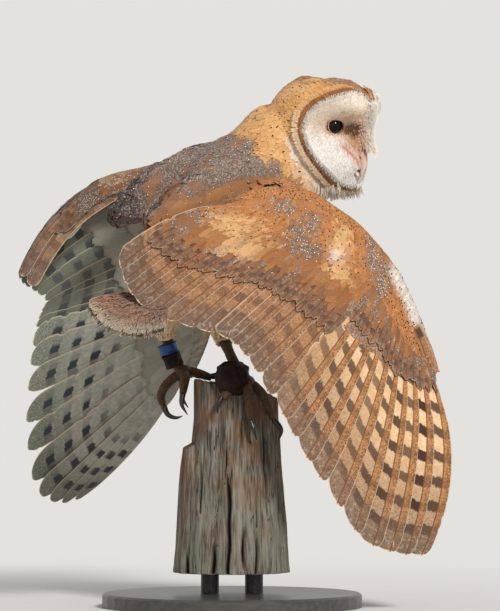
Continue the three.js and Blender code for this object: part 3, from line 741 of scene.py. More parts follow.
def finish_piece(piece: Piece, finish: object, slot: str, *nodes: str) -> Piece:
    """Dresses a piece and lets it ride on the body.

    Args:
        piece: the piece.
        finish: its finish.
        slot: its material slot; not used.
        *nodes: the nodes that it stands for.

    Returns:
        The piece.
    """
    piece.data.materials.clear()
    piece.data.materials.append(dressed(finish))
    if any(nodes):
        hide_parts(*nodes)
    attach(piece, BODY)
    log.info("%s: %d faces", piece.name, len(piece.data.polygons))
    return piece


# ---------------------------------------------------------------- wings and tail


@dataclass(frozen=True)
class Sheet:
    """A fan of flight feathers as a curved sheet, in millimetres as the frame has it.

    Attributes:
        lead: the front edge of the wing, from the body outwards.
        roots: where the flight feathers start.
        tips: where they end.
        bows: how far each stretch of feathers bows sideways, along bow_along.
        cover: how much of the feathers' length the coverts hide.
        camber: how far the sheet bulges at mid length.
        up: roughly the way that the upper side faces.
        thick: half thickness of the flesh at the front, along the lead.
    """

    lead: list
    roots: list
    tips: list
    bows: list
    cover: list
    camber: tuple
    up: tuple
    bow_along: tuple = (0, 0, 0)
    thick: tuple = (0, 0)

    def at(self, station: Array, share: Array) -> Array:
        """Points of the sheet, in metres, at stations along the wing and shares of the feathers.

        Args:
            station: places from the body outwards, from 0 to 1.
            share: shares of the feathers, 1 at their tips.

        Returns:
            One point for each pair.
        """
        root = route(np.array(self.roots) * MM, station)
        tip = route(np.array(self.tips) * MM, station)
        share = np.asarray(share, float)[..., None]
        lift = 4 * share * (1 - share) * MM
        bow = route(np.array(self.bows, float), station)[..., None] * np.array(self.bow_along)
        return root + (tip - root) * share + lift * (np.array(self.camber) + bow)

    @property
    def hand(self) -> float:
        """1 where outwards by backwards gives the upper side, or -1."""
        roots, tips = np.array(self.roots, float), np.array(self.tips, float)
        normal = np.cross((tips + roots)[-1] - (tips + roots)[0], (tips - roots).mean(axis=0))
        return 1.0 if normal @ np.array(self.up) > 0 else -1.0

    def outwards(self, station: Array, share: Array) -> Array:
        """Unit vectors across the feathers, towards the tip of the wing."""
        nudge = 0.01
        return unit(self.at(np.minimum(station + nudge, 1), share) - self.at(np.maximum(station - nudge, 0), share))

    def normal(self, station: Array, share: Array) -> Array:
        """Unit vectors out of the upper side."""
        along = self.at(station, share + 0.01) - self.at(station, share - 0.01)
        return unit(np.cross(self.outwards(station, share), along)) * self.hand

    def length(self, station: Array) -> Array:
        """Straight lengths of the feathers."""
        return np.linalg.norm(self.at(station, np.ones_like(station)) - self.at(station, 0 * station), axis=-1)

    def feathers(self, count: int, rows: int, rng: np.random.Generator, shape: "FlightShape") -> dict:
        """The shafts, sides and widths of a set of flight feathers.

        Args:
            count: how many feathers.
            rows: rings of points along each.
            rng: the source of chance.
            shape: the outline that they share.

        Returns:
            The line, across, normal and half arrays of a Vanes.
        """
        station = ((np.arange(count) + 0.5) / count)[:, None]
        share = (1 - (1 - np.linspace(0, 1, rows + 1)) ** 1.5)[None, :]
        station, share = np.broadcast_arrays(station, share)
        station = np.clip(station + rng.normal(0, 0.06 / count, (count, 1)) * share, 0, 1)
        gap = np.linalg.norm(
            self.at(np.minimum(station + 0.5 / count, 1), share)
            - self.at(np.maximum(station - 0.5 / count, 0), share),
            axis=-1,
        )
        gap = np.maximum(gap, shape.narrowest)
        point = shape.outline(share, station)
        ragged = 1 - shape.split * (rng.random((count, rows + 1)) < 0.12) * rng.random((count, rows + 1))
        inner = np.minimum(gap * shape.inner, shape.inner_most) * point * ragged
        outer = np.minimum(gap * shape.outer, shape.outer_most) * point * ragged[:, ::-1]
        return {
            "line": self.at(station, share),
            "across": self.outwards(np.minimum(station, 0.9), share),
            "normal": self.normal(np.minimum(station, 0.9), share),
            "half": np.stack([inner, outer], axis=-1),
        }


@dataclass(frozen=True)
class FlightShape:
    """The outline of a flight feather, in metres or in shares of the gap to the next one."""

    inner: float = 1.05
    outer: float = 0.46
    inner_most: float = 0.021
    outer_most: float = 0.0105
    narrowest: float = 0.004
    blunt: float = 0.93
    sharp: float = 0.93
    split: float = 0.16

    def outline(self, share: Array, station: Array) -> Array:
        """Width along the feather, as a share of the whole: a narrow root and a round end."""
        begins = self.blunt + (self.sharp - self.blunt) * station
        end = np.clip((share - begins) / (1 - begins), 0, 1)
        return (0.3 + 0.7 * ease(0.0, 0.35, share)) * np.sqrt(np.maximum(1 - end**2.2, 0))


@dataclass
class Panel:
    """The feathered front of a wing, from the leading edge to the last coverts, on both sides."""

    sheet: Sheet
    edge: float = 0.0011
    most: float = 1.7
    stations: int = 61
    steps: int = 52
    samples: int = 41

    def __post_init__(self) -> None:
        """Works out a grid of places, normals and half thicknesses."""
        s = np.linspace(0, 1, self.stations)
        cover = route(np.array(self.sheet.cover, float), s)
        anchors = np.stack(
            [
                route(np.array(self.sheet.lead) * MM, s),
                self.sheet.at(s, 0.04 + 0 * s),
                self.sheet.at(s, cover / 2),
                self.sheet.at(s, cover),
            ],
            axis=1,
        )
        samples = np.linspace(0, 1, self.samples)
        grid = np.zeros((self.stations, self.steps, 3))
        self.v = np.linspace(0, self.most, self.steps)
        self.front = np.zeros(self.stations)
        for i in range(self.stations):
            curve = route(anchors[i], samples, CHORDAL)
            run = np.concatenate([[0], np.cumsum(np.linalg.norm(np.diff(curve, axis=0), axis=1))])
            self.front[i] = run[-1]
            inside = np.minimum(self.v, 1) * run[-1]
            grid[i] = np.stack([np.interp(inside, run, curve[:, k]) for k in range(3)], axis=1)
            past = self.v > 1
            beyond = cover[i] + (self.v[past] - 1) * run[-1] / self.sheet.length(s[i : i + 1])[0]
            grid[i, past] = self.sheet.at(np.full(past.sum(), s[i]), beyond)
        across, along = np.gradient(grid, axis=0), np.gradient(grid, axis=1)
        made = unit(np.cross(across, along)) * self.sheet.hand
        thick = route(np.array(self.sheet.thick, float) * MM, s)[:, None]
        swelling = np.sin(np.pi * np.clip(self.v * 1.15 + 0.1, 0, 1)) ** 0.8
        nose = np.sqrt(np.clip(1 - (1 - np.minimum(self.v / 0.1, 1)) ** 2, 0, 1))
        half = (self.edge + thick * swelling) * nose
        self.table = np.concatenate([grid, made, half[..., None], unit(across)], axis=2)

    def look_up(self, station: Array, v: Array, side: int) -> tuple[Array, Array, Array]:
        """Places, normals and sideways directions on one side of the panel.

        Args:
            station: 0 at the body, 1 at the outer end.
            v: 0 at the leading edge, 1 where the coverts' flesh ends, more over the flight feathers.
            side: 1 for the upper side, -1 for the underside.

        Returns:
            Points on the surface, unit normals and unit vectors outwards along the wing.
        """
        x = np.clip(station, 0, 1) * (self.stations - 1)
        y = np.clip(v / self.most, 0, 1) * (self.steps - 1)
        i, j = np.minimum(x.astype(int), self.stations - 2), np.minimum(y.astype(int), self.steps - 2)
        a, b = (x - i)[..., None], (y - j)[..., None]
        t = self.table
        found = (t[i, j] * (1 - a) + t[i + 1, j] * a) * (1 - b) + (t[i, j + 1] * (1 - a) + t[i + 1, j + 1] * a) * b
        normal = unit(found[..., 3:6]) * side
        return found[..., :3] + normal * found[..., 6:7], normal, unit(found[..., 7:10])

    def coverts(self, station: Array, start: Array, length: Array, width: Array, side: int, rise: float) -> dict:
        """Coverts that lie over the panel.

        Args:
            station: where each one is along the wing.
            start: how far behind the leading edge each one starts, as v.
            length: their lengths.
            width: their half widths.
            side: 1 for the upper side, -1 for the underside.
            rise: how far a tip stands off the panel.

        Returns:
            The line, across, normal, half and soft arrays of a Vanes.
        """
        share = np.linspace(0, 1, 9)[None, :]
        front = np.interp(station, np.linspace(0, 1, self.stations), self.front)[:, None]
        v = start[:, None] + share * length[:, None] / front
        place, normal, across = self.look_up(np.broadcast_to(station[:, None], v.shape), v, side)
        line = place + normal * (rise * (0.15 + 0.85 * share))[..., None]
        end = np.clip((share - 0.55) / 0.45, 0, 1)
        outline = (0.45 + 0.55 * ease(0, 0.3, share)) * np.sqrt(np.maximum(1 - end**2, 0))
        return {"line": line, "across": across, "normal": normal, "half": width[:, None] * outline, "soft": normal}


@dataclass(frozen=True)
class CovertRow:
    """One or more rows of coverts of a kind: where they start, how they are spaced, and their size."""

    first: float
    last: float
    step: float
    length: float
    width: float
    barred: bool = False


@dataclass
class Wing:
    """One wing: flight feathers, alula, and coverts on both sides.

    Attributes:
        side: "right" or "left", as in the names of the frame's nodes.
        arm: the sheet of the secondaries.
        hand: the sheet of the primaries.
        alula: the spine of the alula, in millimetres.
        seed: start of the wing's chance.
        painted_shade: how much painted shade greys and darkens its coverts and flight feathers, 0 on the near wing.
    """

    side: str
    arm: Sheet
    hand: Sheet
    alula: list
    seed: int
    painted_shade: float = 0.0
    secondaries: int = 13
    primaries: int = 10
    arm_rows: tuple = (
        CovertRow(0.0, 0.12, 0.022, 0.009, 0.0026),
        CovertRow(0.14, 0.56, 0.03, 0.014, 0.0037),
        CovertRow(0.59, 0.71, 0.05, 0.023, 0.0058),
        CovertRow(0.74, 0.74, 0.1, 0.036, 0.0072, True),
    )
    hand_rows: tuple = (
        CovertRow(0.0, 0.36, 0.042, 0.011, 0.0029),
        CovertRow(0.4, 0.52, 0.06, 0.02, 0.0044),
        CovertRow(0.55, 0.55, 0.1, 0.03, 0.0058, True),
    )
    under_rows: tuple = (
        CovertRow(0.0, 0.2, 0.06, 0.012, 0.004),
        CovertRow(0.24, 0.66, 0.09, 0.022, 0.0065),
        CovertRow(0.74, 0.74, 0.1, 0.036, 0.0085),
    )

    def __post_init__(self) -> None:
        """Prepares the panels of the arm and the hand."""
        self.rng = np.random.default_rng(self.seed)
        self.arm_panel, self.hand_panel = Panel(self.arm), Panel(self.hand)

    def flight(self, name: str, sheet: Sheet, count: int, shape: FlightShape, marks: tuple) -> Piece:
        """Makes one set of flight feathers.

        Args:
            name: the node that they stand for, without the wing's side.
            sheet: the surface that they lie in.
            count: how many feathers.
            shape: their outline.
            marks: bars, grey and pale inner web.

        Returns:
            The finished piece.
        """
        rng, rows = self.rng, 44
        made = sheet.feathers(count, rows, rng, shape)
        share = np.linspace(0, 1, rows + 1)[None, :]
        tone = blend(Tone.ORANGE, Tone.GOLD, 0.3 + 0.3 * rng.random((count, 1)) + 0 * share)
        # painted shade: the far wing's flight feathers are mixed further towards grey
        brown = (0.42 if name == "secondaries" else 0.08) + self.painted_shade * 0.4
        tone = blend(tone, Tone.GREY, brown + 0.35 * ease(0.45, 1.0, share) + 0.1 * rng.random((count, 1)))
        marks = np.clip(np.array(marks)[None, :] * (1 + 0.15 * rng.normal(0, 1, (count, 1))), 0, 1)
        vanes = Vanes(**made, tint=tone, marks=marks, columns=9, dome=0.03, full=True, tilt=0.03)
        title = f"wing_{self.side}_{name}"
        return vanes.build(f"{title}_vanes", FlightPlumage(), "flight_feathers", title)

    def cover(self, part: str, panel: Panel, over: tuple, under: tuple) -> None:
        """Lays the coverts of the arm or the hand on both sides.

        Args:
            part: "arm" or "hand".
            panel: the surface that they lie on.
            over: the rows of the upper side.
            under: the rows of the underside.
        """
        soft, barred = [], []
        for side, rows in ((1, over), (-1, under)):
            for row in rows:
                for v in np.arange(row.first, row.last + 1e-6, row.step):
                    (barred if row.barred else soft).append(self.row(part, panel, side, row, v))
        for batches, finish, title in (
            (soft, Plumage(), "coverts"),
            (barred, FlightPlumage("covert_bars", 1.5, 1.15, 0.55), "great_coverts"),
        ):
            vanes = Vanes(**joined(batches), columns=5, dome=0.22)
            vanes.build(f"wing_{self.side}_{part}_{title}", finish, "golden_feathers")

    def row(self, part: str, panel: Panel, side: int, row: CovertRow, v: float) -> dict:
        """One row of coverts along the wing.

        Args:
            part: "arm" or "hand".
            panel: the surface that they lie on.
            side: 1 for the upper side, -1 for the underside.
            row: their spacing and size.
            v: how far behind the leading edge they start.

        Returns:
            The arrays of a Vanes.
        """
        rng = self.rng
        along = np.linspace(0, 1, 60)
        place, _, _ = panel.look_up(along, np.full(60, v + 0.1), side)
        run = np.concatenate([[0], np.cumsum(np.linalg.norm(np.diff(place, axis=0), axis=1))])
        count = max(int(run[-1] / (row.width * 1.05)), 4)
        spots = (np.arange(count) + 0.5 + rng.normal(0, 0.16, count)) / count * run[-1]
        station = np.interp(spots, run, along)
        start = v + rng.normal(0, row.step * 0.16, count)
        length = row.length * rng.uniform(0.86, 1.14, count)
        width = row.width * rng.uniform(0.88, 1.12, count)
        if part == "hand" and row.length > 0.02:
            width = width * (1 - 0.65 * ease(0.8, 1.0, station))
        made = panel.coverts(station, np.maximum(start, 0), length, width, side, 0.0012 + 0.02 * row.length)
        middle = start + 0.6 * length / np.interp(station, np.linspace(0, 1, panel.stations), panel.front)
        tint, marks = LIVERY.wing(part, station, middle, side, self.painted_shade, rng)
        made["tint"] = tint
        made["marks"] = np.tile([0.85, 0.45, 0.0], (count, 1)) if row.barred else marks
        corner = np.array([0.02 if side > 0 else 0.52, 0.02])
        made["patch"] = corner + np.stack([station * 0.46, np.clip(start / 1.2, 0, 1) * 0.96], axis=1)
        return made

    def thumb(self) -> Piece:
        """Makes the alula: a few short stiff feathers at the front of the hand."""
        count, rows = 4, 24
        spine = np.array(self.alula, float) * MM
        share = np.linspace(0, 1, rows + 1)
        _, normal, across = self.hand_panel.look_up(np.full(1, 0.5), np.full(1, 0.1), 1)
        line = np.stack([route(spine, share * (0.7 + 0.1 * k)) for k in range(count)])
        inward = unit(route(np.array(self.hand.tips) * MM, np.array(0.5)) - spine.mean(axis=0))
        line = line + (np.arange(count)[::-1, None, None] * share[None, :, None]) * 0.0016 * inward
        line = line + normal * (0.0022 - 0.0004 * np.arange(count))[:, None, None]
        end = np.clip((share - 0.82) / 0.18, 0, 1)
        outline = (0.5 + 0.5 * ease(0, 0.3, share)) * np.sqrt(1 - end**2)
        half = np.broadcast_to(outline, (count, rows + 1))[..., None] * np.array([0.0062, 0.0028])
        flat = np.broadcast_to(normal[0], line.shape)
        square = np.cross(unit(np.gradient(line, axis=1)), flat)
        outer = unit(square) * np.sign((square @ across[0]).mean())
        tint, marks = np.tile(Tone.ORANGE.rgb, (count, 1)), (0.9, 0.25, 0.1)
        vanes = Vanes(line, flat, half, tint, marks, outer, columns=7, dome=0.1, full=True, tilt=0.1)
        title = f"wing_{self.side}_alula"
        return vanes.build(f"{title}_vanes", FlightPlumage(), "flight_feathers", title)

    def hides(self, points: Array, within: Array) -> Array:
        """Whether points lie within a reach of the inner part of this wing.

        Args:
            points: the points.
            within: how far it reaches from each point.

        Returns:
            One answer for each point.
        """
        grid = self.arm_panel.table[:, 1:28, :3]
        rows, columns = grid.shape[:2]
        i, j = np.meshgrid(np.arange(rows - 1), np.arange(columns - 1), indexing="ij")
        a = (i * columns + j).ravel()
        faces = np.stack([a, a + 1, a + columns + 1, a + columns], axis=1)
        places, _ = nearest(surface(grid.reshape(-1, 3), faces), points)
        return np.linalg.norm(places - points, axis=1) < within

    def build(self) -> None:
        """Makes the whole wing."""
        arm_shape = FlightShape(inner_most=0.017, outer_most=0.009, blunt=0.93, sharp=0.93)
        ends = (0.93, 0.955) if self.painted_shade == 0 else (0.9, 0.86)
        hand_shape = FlightShape(inner_most=0.022, outer_most=0.0105, blunt=ends[0], sharp=ends[1])
        self.flight("secondaries", self.arm, self.secondaries, arm_shape, (0.5, 0.95, 0.05))
        self.flight("primaries", self.hand, self.primaries, hand_shape, (0.8, 0.8, 0.75))
        self.thumb()
        self.cover("arm", self.arm_panel, self.arm_rows, self.under_rows)
        self.cover("hand", self.hand_panel, self.hand_rows, self.under_rows)


WING_RIGHT = Wing(
    side="right",
    arm=Sheet(
        lead=[
            [22, -44, 418], [34, -38, 419], [52, -30, 419], [72, -23, 417],
            [100, -22, 401], [125, -30, 384], [149, -40, 358],
        ],
        roots=[
            [14, -54, 402], [28, -60, 394], [48, -62, 384], [70, -61, 374],
            [97, -56, 360], [122, -51, 346], [144, -47, 331],
        ],
        tips=[
            [-112, -86, 347], [-102, -97, 318], [-80, -105, 295], [-43, -108, 281],
            [-5, -108, 269], [14, -103, 251], [40, -98, 208],
        ],
        bows=[12, 8, 4, 1, 0, 0, 0],
        cover=[0.78, 0.7, 0.62, 0.57, 0.52, 0.48, 0.4],
        camber=(0, -8, 0),
        up=(0, -1, 0.1),
        bow_along=(0, 0, 1),
        thick=(4, 7, 9, 9, 8, 7, 6),
    ),
    hand=Sheet(
        lead=[
            [149, -40, 358], [165, -44, 337], [175, -46, 318],
            [185, -49, 295], [195, -51, 268], [206, -52, 236],
        ],
        roots=[
            [144, -47, 331], [153, -46, 312], [161, -48, 300],
            [169, -49, 286], [177, -50, 272], [187, -51, 256],
        ],
        tips=[
            [44, -98, 206], [66, -96, 164], [95, -92, 120],
            [131, -86, 70], [165, -82, 57], [194, -74, 55],
        ],
        bows=[2, 3, 5, 8, 14, 27],
        cover=[0.4, 0.34, 0.3, 0.26, 0.22, 0.18],
        camber=(0, -8, 0),
        up=(0, -1, 0.1),
        bow_along=(1, 0, 0),
        thick=(6, 6, 5, 4, 3, 2),
    ),
    alula=[[166, -50, 304], [188, -55, 268], [201, -58, 232]],
    seed=11,
)
WING_LEFT = Wing(
    side="left",
    arm=Sheet(
        lead=[
            [-50, 54, 434], [-34, 68, 450], [-14, 84, 434], [-8, 94, 404],
            [-6, 105, 374], [-8, 115, 345], [-12, 124, 314],
        ],
        roots=[
            [-82, 66, 421], [-78, 86, 434], [-70, 98, 415], [-60, 107, 392],
            [-48, 114, 362], [-36, 120, 338], [-25, 126, 311],
        ],
        tips=[
            [-204, 76, 320], [-218, 90, 334], [-215, 104, 325], [-203, 116, 316],
            [-192, 126, 306], [-197, 132, 295], [-204, 138, 276],
        ],
        bows=[22, 26, 19, 10, 3, 0, 0],
        cover=[0.72, 0.66, 0.57, 0.5, 0.46, 0.42, 0.36],
        camber=(0, 7, 2),
        up=(-0.3, 1, 0.4),
        bow_along=(-0.45, 0, 0.9),
        thick=(4, 7, 9, 9, 8, 7, 6),
    ),
    hand=Sheet(
        lead=[
            [-12, 124, 314], [-17, 134, 295], [-21, 142, 278],
            [-26, 151, 262], [-33, 160, 245], [-42, 170, 226],
        ],
        roots=[
            [-25, 126, 311], [-26, 133, 294], [-29, 141, 278],
            [-33, 150, 264], [-38, 158, 252], [-45, 166, 240],
        ],
        tips=[
            [-204, 138, 276], [-210, 156, 231], [-214, 186, 168],
            [-204, 216, 108], [-181, 248, 94], [-157, 264, 99],
        ],
        bows=[0, 0, 1, 3, 6, 12],
        cover=[0.36, 0.32, 0.28, 0.25, 0.22, 0.18],
        camber=(0, 7, 2),
        up=(-0.3, 1, 0.4),
        bow_along=(0.8, 0.2, -0.6),
        thick=(6, 6, 5, 4, 3, 2),
    ),
    alula=[[-30, 154, 278], [-41, 168, 244], [-57, 180, 216]],
    seed=12,
    # the far wing lies in shade, and that shade is painted into its colours
    painted_shade=0.75,
)
TAIL_SHEET = Sheet(
    lead=[],
    roots=[[-92, -34, 311], [-86, -38, 314], [-78, -42, 315], [-70, -46, 312], [-63, -50, 308]],
    tips=[[-138, -130, 302], [-124, -144, 285], [-100, -153, 276], [-79, -160, 276], [-63, -165, 281]],
    bows=[0, 0],
    cover=[],
    camber=(0, 0, 5),
    up=(-0.1, -0.3, 1),
)


@dataclass
class Tail:
    """Twelve barred tail feathers with a ragged pale end, and one seen on its edge beside them."""

    sheet: Sheet = TAIL_SHEET
    count: int = 12
    tufts: int = 2600

    def build(self) -> None:
        """Makes the tail."""
        rng = np.random.default_rng(5)
        shape = FlightShape(inner=1.3, outer=0.9, inner_most=0.016, outer_most=0.012, blunt=0.9, sharp=0.9)
        made = self.sheet.feathers(self.count, 36, rng, shape)
        share = np.linspace(0, 1, 37)[None, :]
        tone = blend(Tone.ORANGE, Tone.GREY, 0.25 + 0.3 * share + 0.1 * rng.random((self.count, 1)))
        tone = blend(tone, Tone.CREAM, 0.5 * ease(0.9, 1.0, share) * np.ones((self.count, 1)))
        marks = (0.7, 0.55, 0.15)
        vanes = Vanes(**made, tint=tone, marks=marks, columns=9, dome=0.08, full=True, tilt=0.1)
        vanes.build("tail_vanes", FlightPlumage(), "flight_feathers", "tail")
        self.edge_on()
        self.fluff()

    def fluff(self) -> Piece:
        """Makes the loose brown tufts over the tail, which end in a ragged pale fringe."""
        rng = np.random.default_rng(6)
        count, rows = self.tufts, 7
        t = np.linspace(0, 1, rows)
        station, start = rng.random(count), rng.uniform(0.1, 0.97, count)
        share = start[:, None] + t[None] * rng.uniform(0.09, 0.2, (count, 1))
        share = np.minimum(share, 1.06)
        drift = rng.normal(0, 0.05, (count, 1)) * (share - start[:, None])
        across = np.clip(station[:, None] + drift, 0.01, 0.99)
        side = np.where(rng.random(count) < 0.6, 1.0, -1.0)[:, None, None]
        normal = self.sheet.normal(across, share) * side
        rise = (0.0008 + 0.0022 * t)[None, :, None] * rng.uniform(0.5, 1.3, (count, 1, 1))
        line = self.sheet.at(across, share) + normal * rise
        end = ease(0.82, 1.0, share)[..., None]
        tint = blend(Tone.ORANGE, Tone.GREY, rng.uniform(0.2, 0.9, count))[:, None] * np.ones((1, rows, 1))
        tint = tint * rng.uniform(0.75, 1.1, (count, 1, 1)) * (1 - end) + Tone.CREAM.rgb * 0.6 * end
        half = 0.0012 * (1 - t**2)[None] * rng.uniform(0.6, 1.3, (count, 1))
        patch = np.stack([0.02 + station * 0.46 + 0.5 * (side[:, 0, 0] < 0), 0.02 + start * 0.94], axis=1)
        vanes = Vanes(line, normal, half, tint, (0.0, 0.8, 0.0), patch=patch)
        return vanes.build("tail_fluff", Plumage(), "golden_feathers")

    def edge_on(self) -> Piece:
        """Makes the outermost feather, which stands on its edge, tinted dark grey as painted shade."""
        spine = np.array([[-80, -60, 312], [-98, -90, 301], [-117, -118, 290], [-132, -140, 280]], float) * MM
        share = np.linspace(0, 1, 19)
        line = route(spine, share)[None]
        normal = unit(np.cross(unit(np.gradient(line, axis=1)), np.array([0.35, -0.85, 0.4])))
        half = 0.0032 * (0.4 + 0.6 * ease(0, 0.4, share)) * np.sqrt(1 - np.clip((share - 0.85) / 0.15, 0, 1) ** 2)
        marks = (0.6, 0.6, 0.0)
        # painted shade: the edge-on feather is tinted dark grey
        vanes = Vanes(line, normal, half[None], Tone.DARK_GREY.rgb[None], marks, columns=7, dome=0.1, full=True)
        return vanes.build("tail_edge_vane", FlightPlumage(), "flight_feathers")


# ---------------------------------------------------------------- the head's own directions


@dataclass
class HeadFrame:
    """Directions of the head, found from the eyes: side, forward and height, in millimetres."""

    nod: float = math.radians(8)
    eye_side: float = 19.0
    eye_forward: float = 31.0
    eye_height: float = 2.5
    eye_turn: float = math.radians(24)
    middle: float = -6.0

    def __post_init__(self) -> None:
        """Finds the middle of the head and its three directions."""
        eyes = [np.array(sum(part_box(f"eye_{side}"), Vector())) / 2 for side in ("right", "left")]
        self.right = unit(eyes[0] - eyes[1])
        level = np.cross([0.0, 0.0, 1.0], self.right)
        self.front = level * math.cos(self.nod) - np.array([0, 0, math.sin(self.nod)])
        self.up = np.cross(self.right, self.front)
        self.basis = np.stack([self.right, self.front, self.up])
        drop = (self.front * self.eye_forward + self.up * self.eye_height) * MM
        self.centre = (eyes[0] + eyes[1]) / 2 - drop
        angles = np.linspace(-np.pi, np.pi, 721)
        side, height = self.rim(angles)
        bearing = np.arctan2(height - self.middle, side)
        order = np.argsort(bearing)
        self.bearings, self.radii = bearing[order], np.hypot(side, height - self.middle)[order]

    def local(self, points: Array) -> tuple[Array, Array, Array]:
        """Side, forward and height of points."""
        return tuple(np.moveaxis((points - self.centre) @ self.basis.T / MM, -1, 0))

    def place(self, side: Array, forward: Array, height: Array) -> Array:
        """Points from side, forward and height."""
        return self.centre + np.stack(np.broadcast_arrays(side, forward, height), axis=-1) @ self.basis * MM

    def turn(self, side: Array, forward: Array, height: Array) -> Array:
        """Unit directions from side, forward and height."""
        return unit(np.stack(np.broadcast_arrays(side, forward, height), axis=-1) @ self.basis)

    def rim(self, angle: Array) -> tuple[Array, Array]:
        """Side and height of the rim of the disc: a heart, round above and blunt below.

        Args:
            angle: angles round the face, from its right side upwards.

        Returns:
            Side and height for each angle, in millimetres.
        """
        cos, sin = np.cos(angle), np.sin(angle)
        up, down = np.maximum(sin, 0), np.maximum(-sin, 0)
        side = 48 * np.sign(cos) * np.abs(cos) ** 0.82
        height = 47 * up**0.75 - 9 * bell(side, 9) * up - 52 * down**0.9 + self.middle
        return side * (1 - 0.16 * down), height

    def outness(self, side: Array, height: Array) -> Array:
        """How far out a place on the face is: 0 in the middle, 1 on the rim."""
        bearing = np.arctan2(height - self.middle, side)
        return np.hypot(side, height - self.middle) / np.interp(bearing, self.bearings, self.radii)

    def disc(self, side: Array, height: Array) -> Array:
        """How far forward the disc stands.

        Args:
            side: places to the right of the middle.
            height: places above the eyes.

        Returns:
            How far forward it stands there, in millimetres.
        """
        across = np.abs(side)
        middle = 62 - 13 * np.clip((height - 26) / 20, 0, 1) ** 2 - 10 * np.clip((-height - 34) / 28, 0, 1) ** 2
        slope = 1.04 + 0.004 * np.minimum(height, 0)
        brow = 21 * bell(np.hypot(across - 22, height - 24), 15)
        cheek = 7 * bell(np.hypot(across - 20, height + 36), 15)
        hollow = 7 * bell(np.hypot(across - self.eye_side, height - self.eye_height), 9)
        ridge = 5 * bell(across, 9) * bell(height + 6, 26)
        chin = 8 * bell(across, 8) * bell(height + 47, 9)
        return middle - slope * across + brow + cheek - hollow + ridge - chin

    def on_face(self, points: Array, most: float = 0.97) -> Array:
        """Whether points lie on the face, inside the rim."""
        side, forward, height = self.local(points)
        return (self.outness(side, height) < most) & (forward > self.disc(side, height) - 12)


HEAD = HeadFrame()


# ---------------------------------------------------------------- colours of the coat


def most(spots: tuple, s: Array, v: Array) -> Array:
    """The strongest of a few round spots, each given as its place along and back and its two widths."""
    return np.max([np.exp(-(((s - x) / a) ** 2) - ((v - y) / b) ** 2) for x, y, a, b in spots], axis=0)


BRIGHT_ARM = ((0.2, 0.52, 0.16, 0.16), (0.36, 0.68, 0.13, 0.13), (0.72, 0.34, 0.08, 0.17), (0.82, 0.56, 0.09, 0.14))
SMOKY_ARM = (
    (0.35, 0.24, 0.12, 0.1),
    (0.5, 0.4, 0.1, 0.2),
    (0.6, 0.56, 0.09, 0.12),
    (0.03, 0.72, 0.12, 0.3),
    (0.95, 0.2, 0.07, 0.2),
)


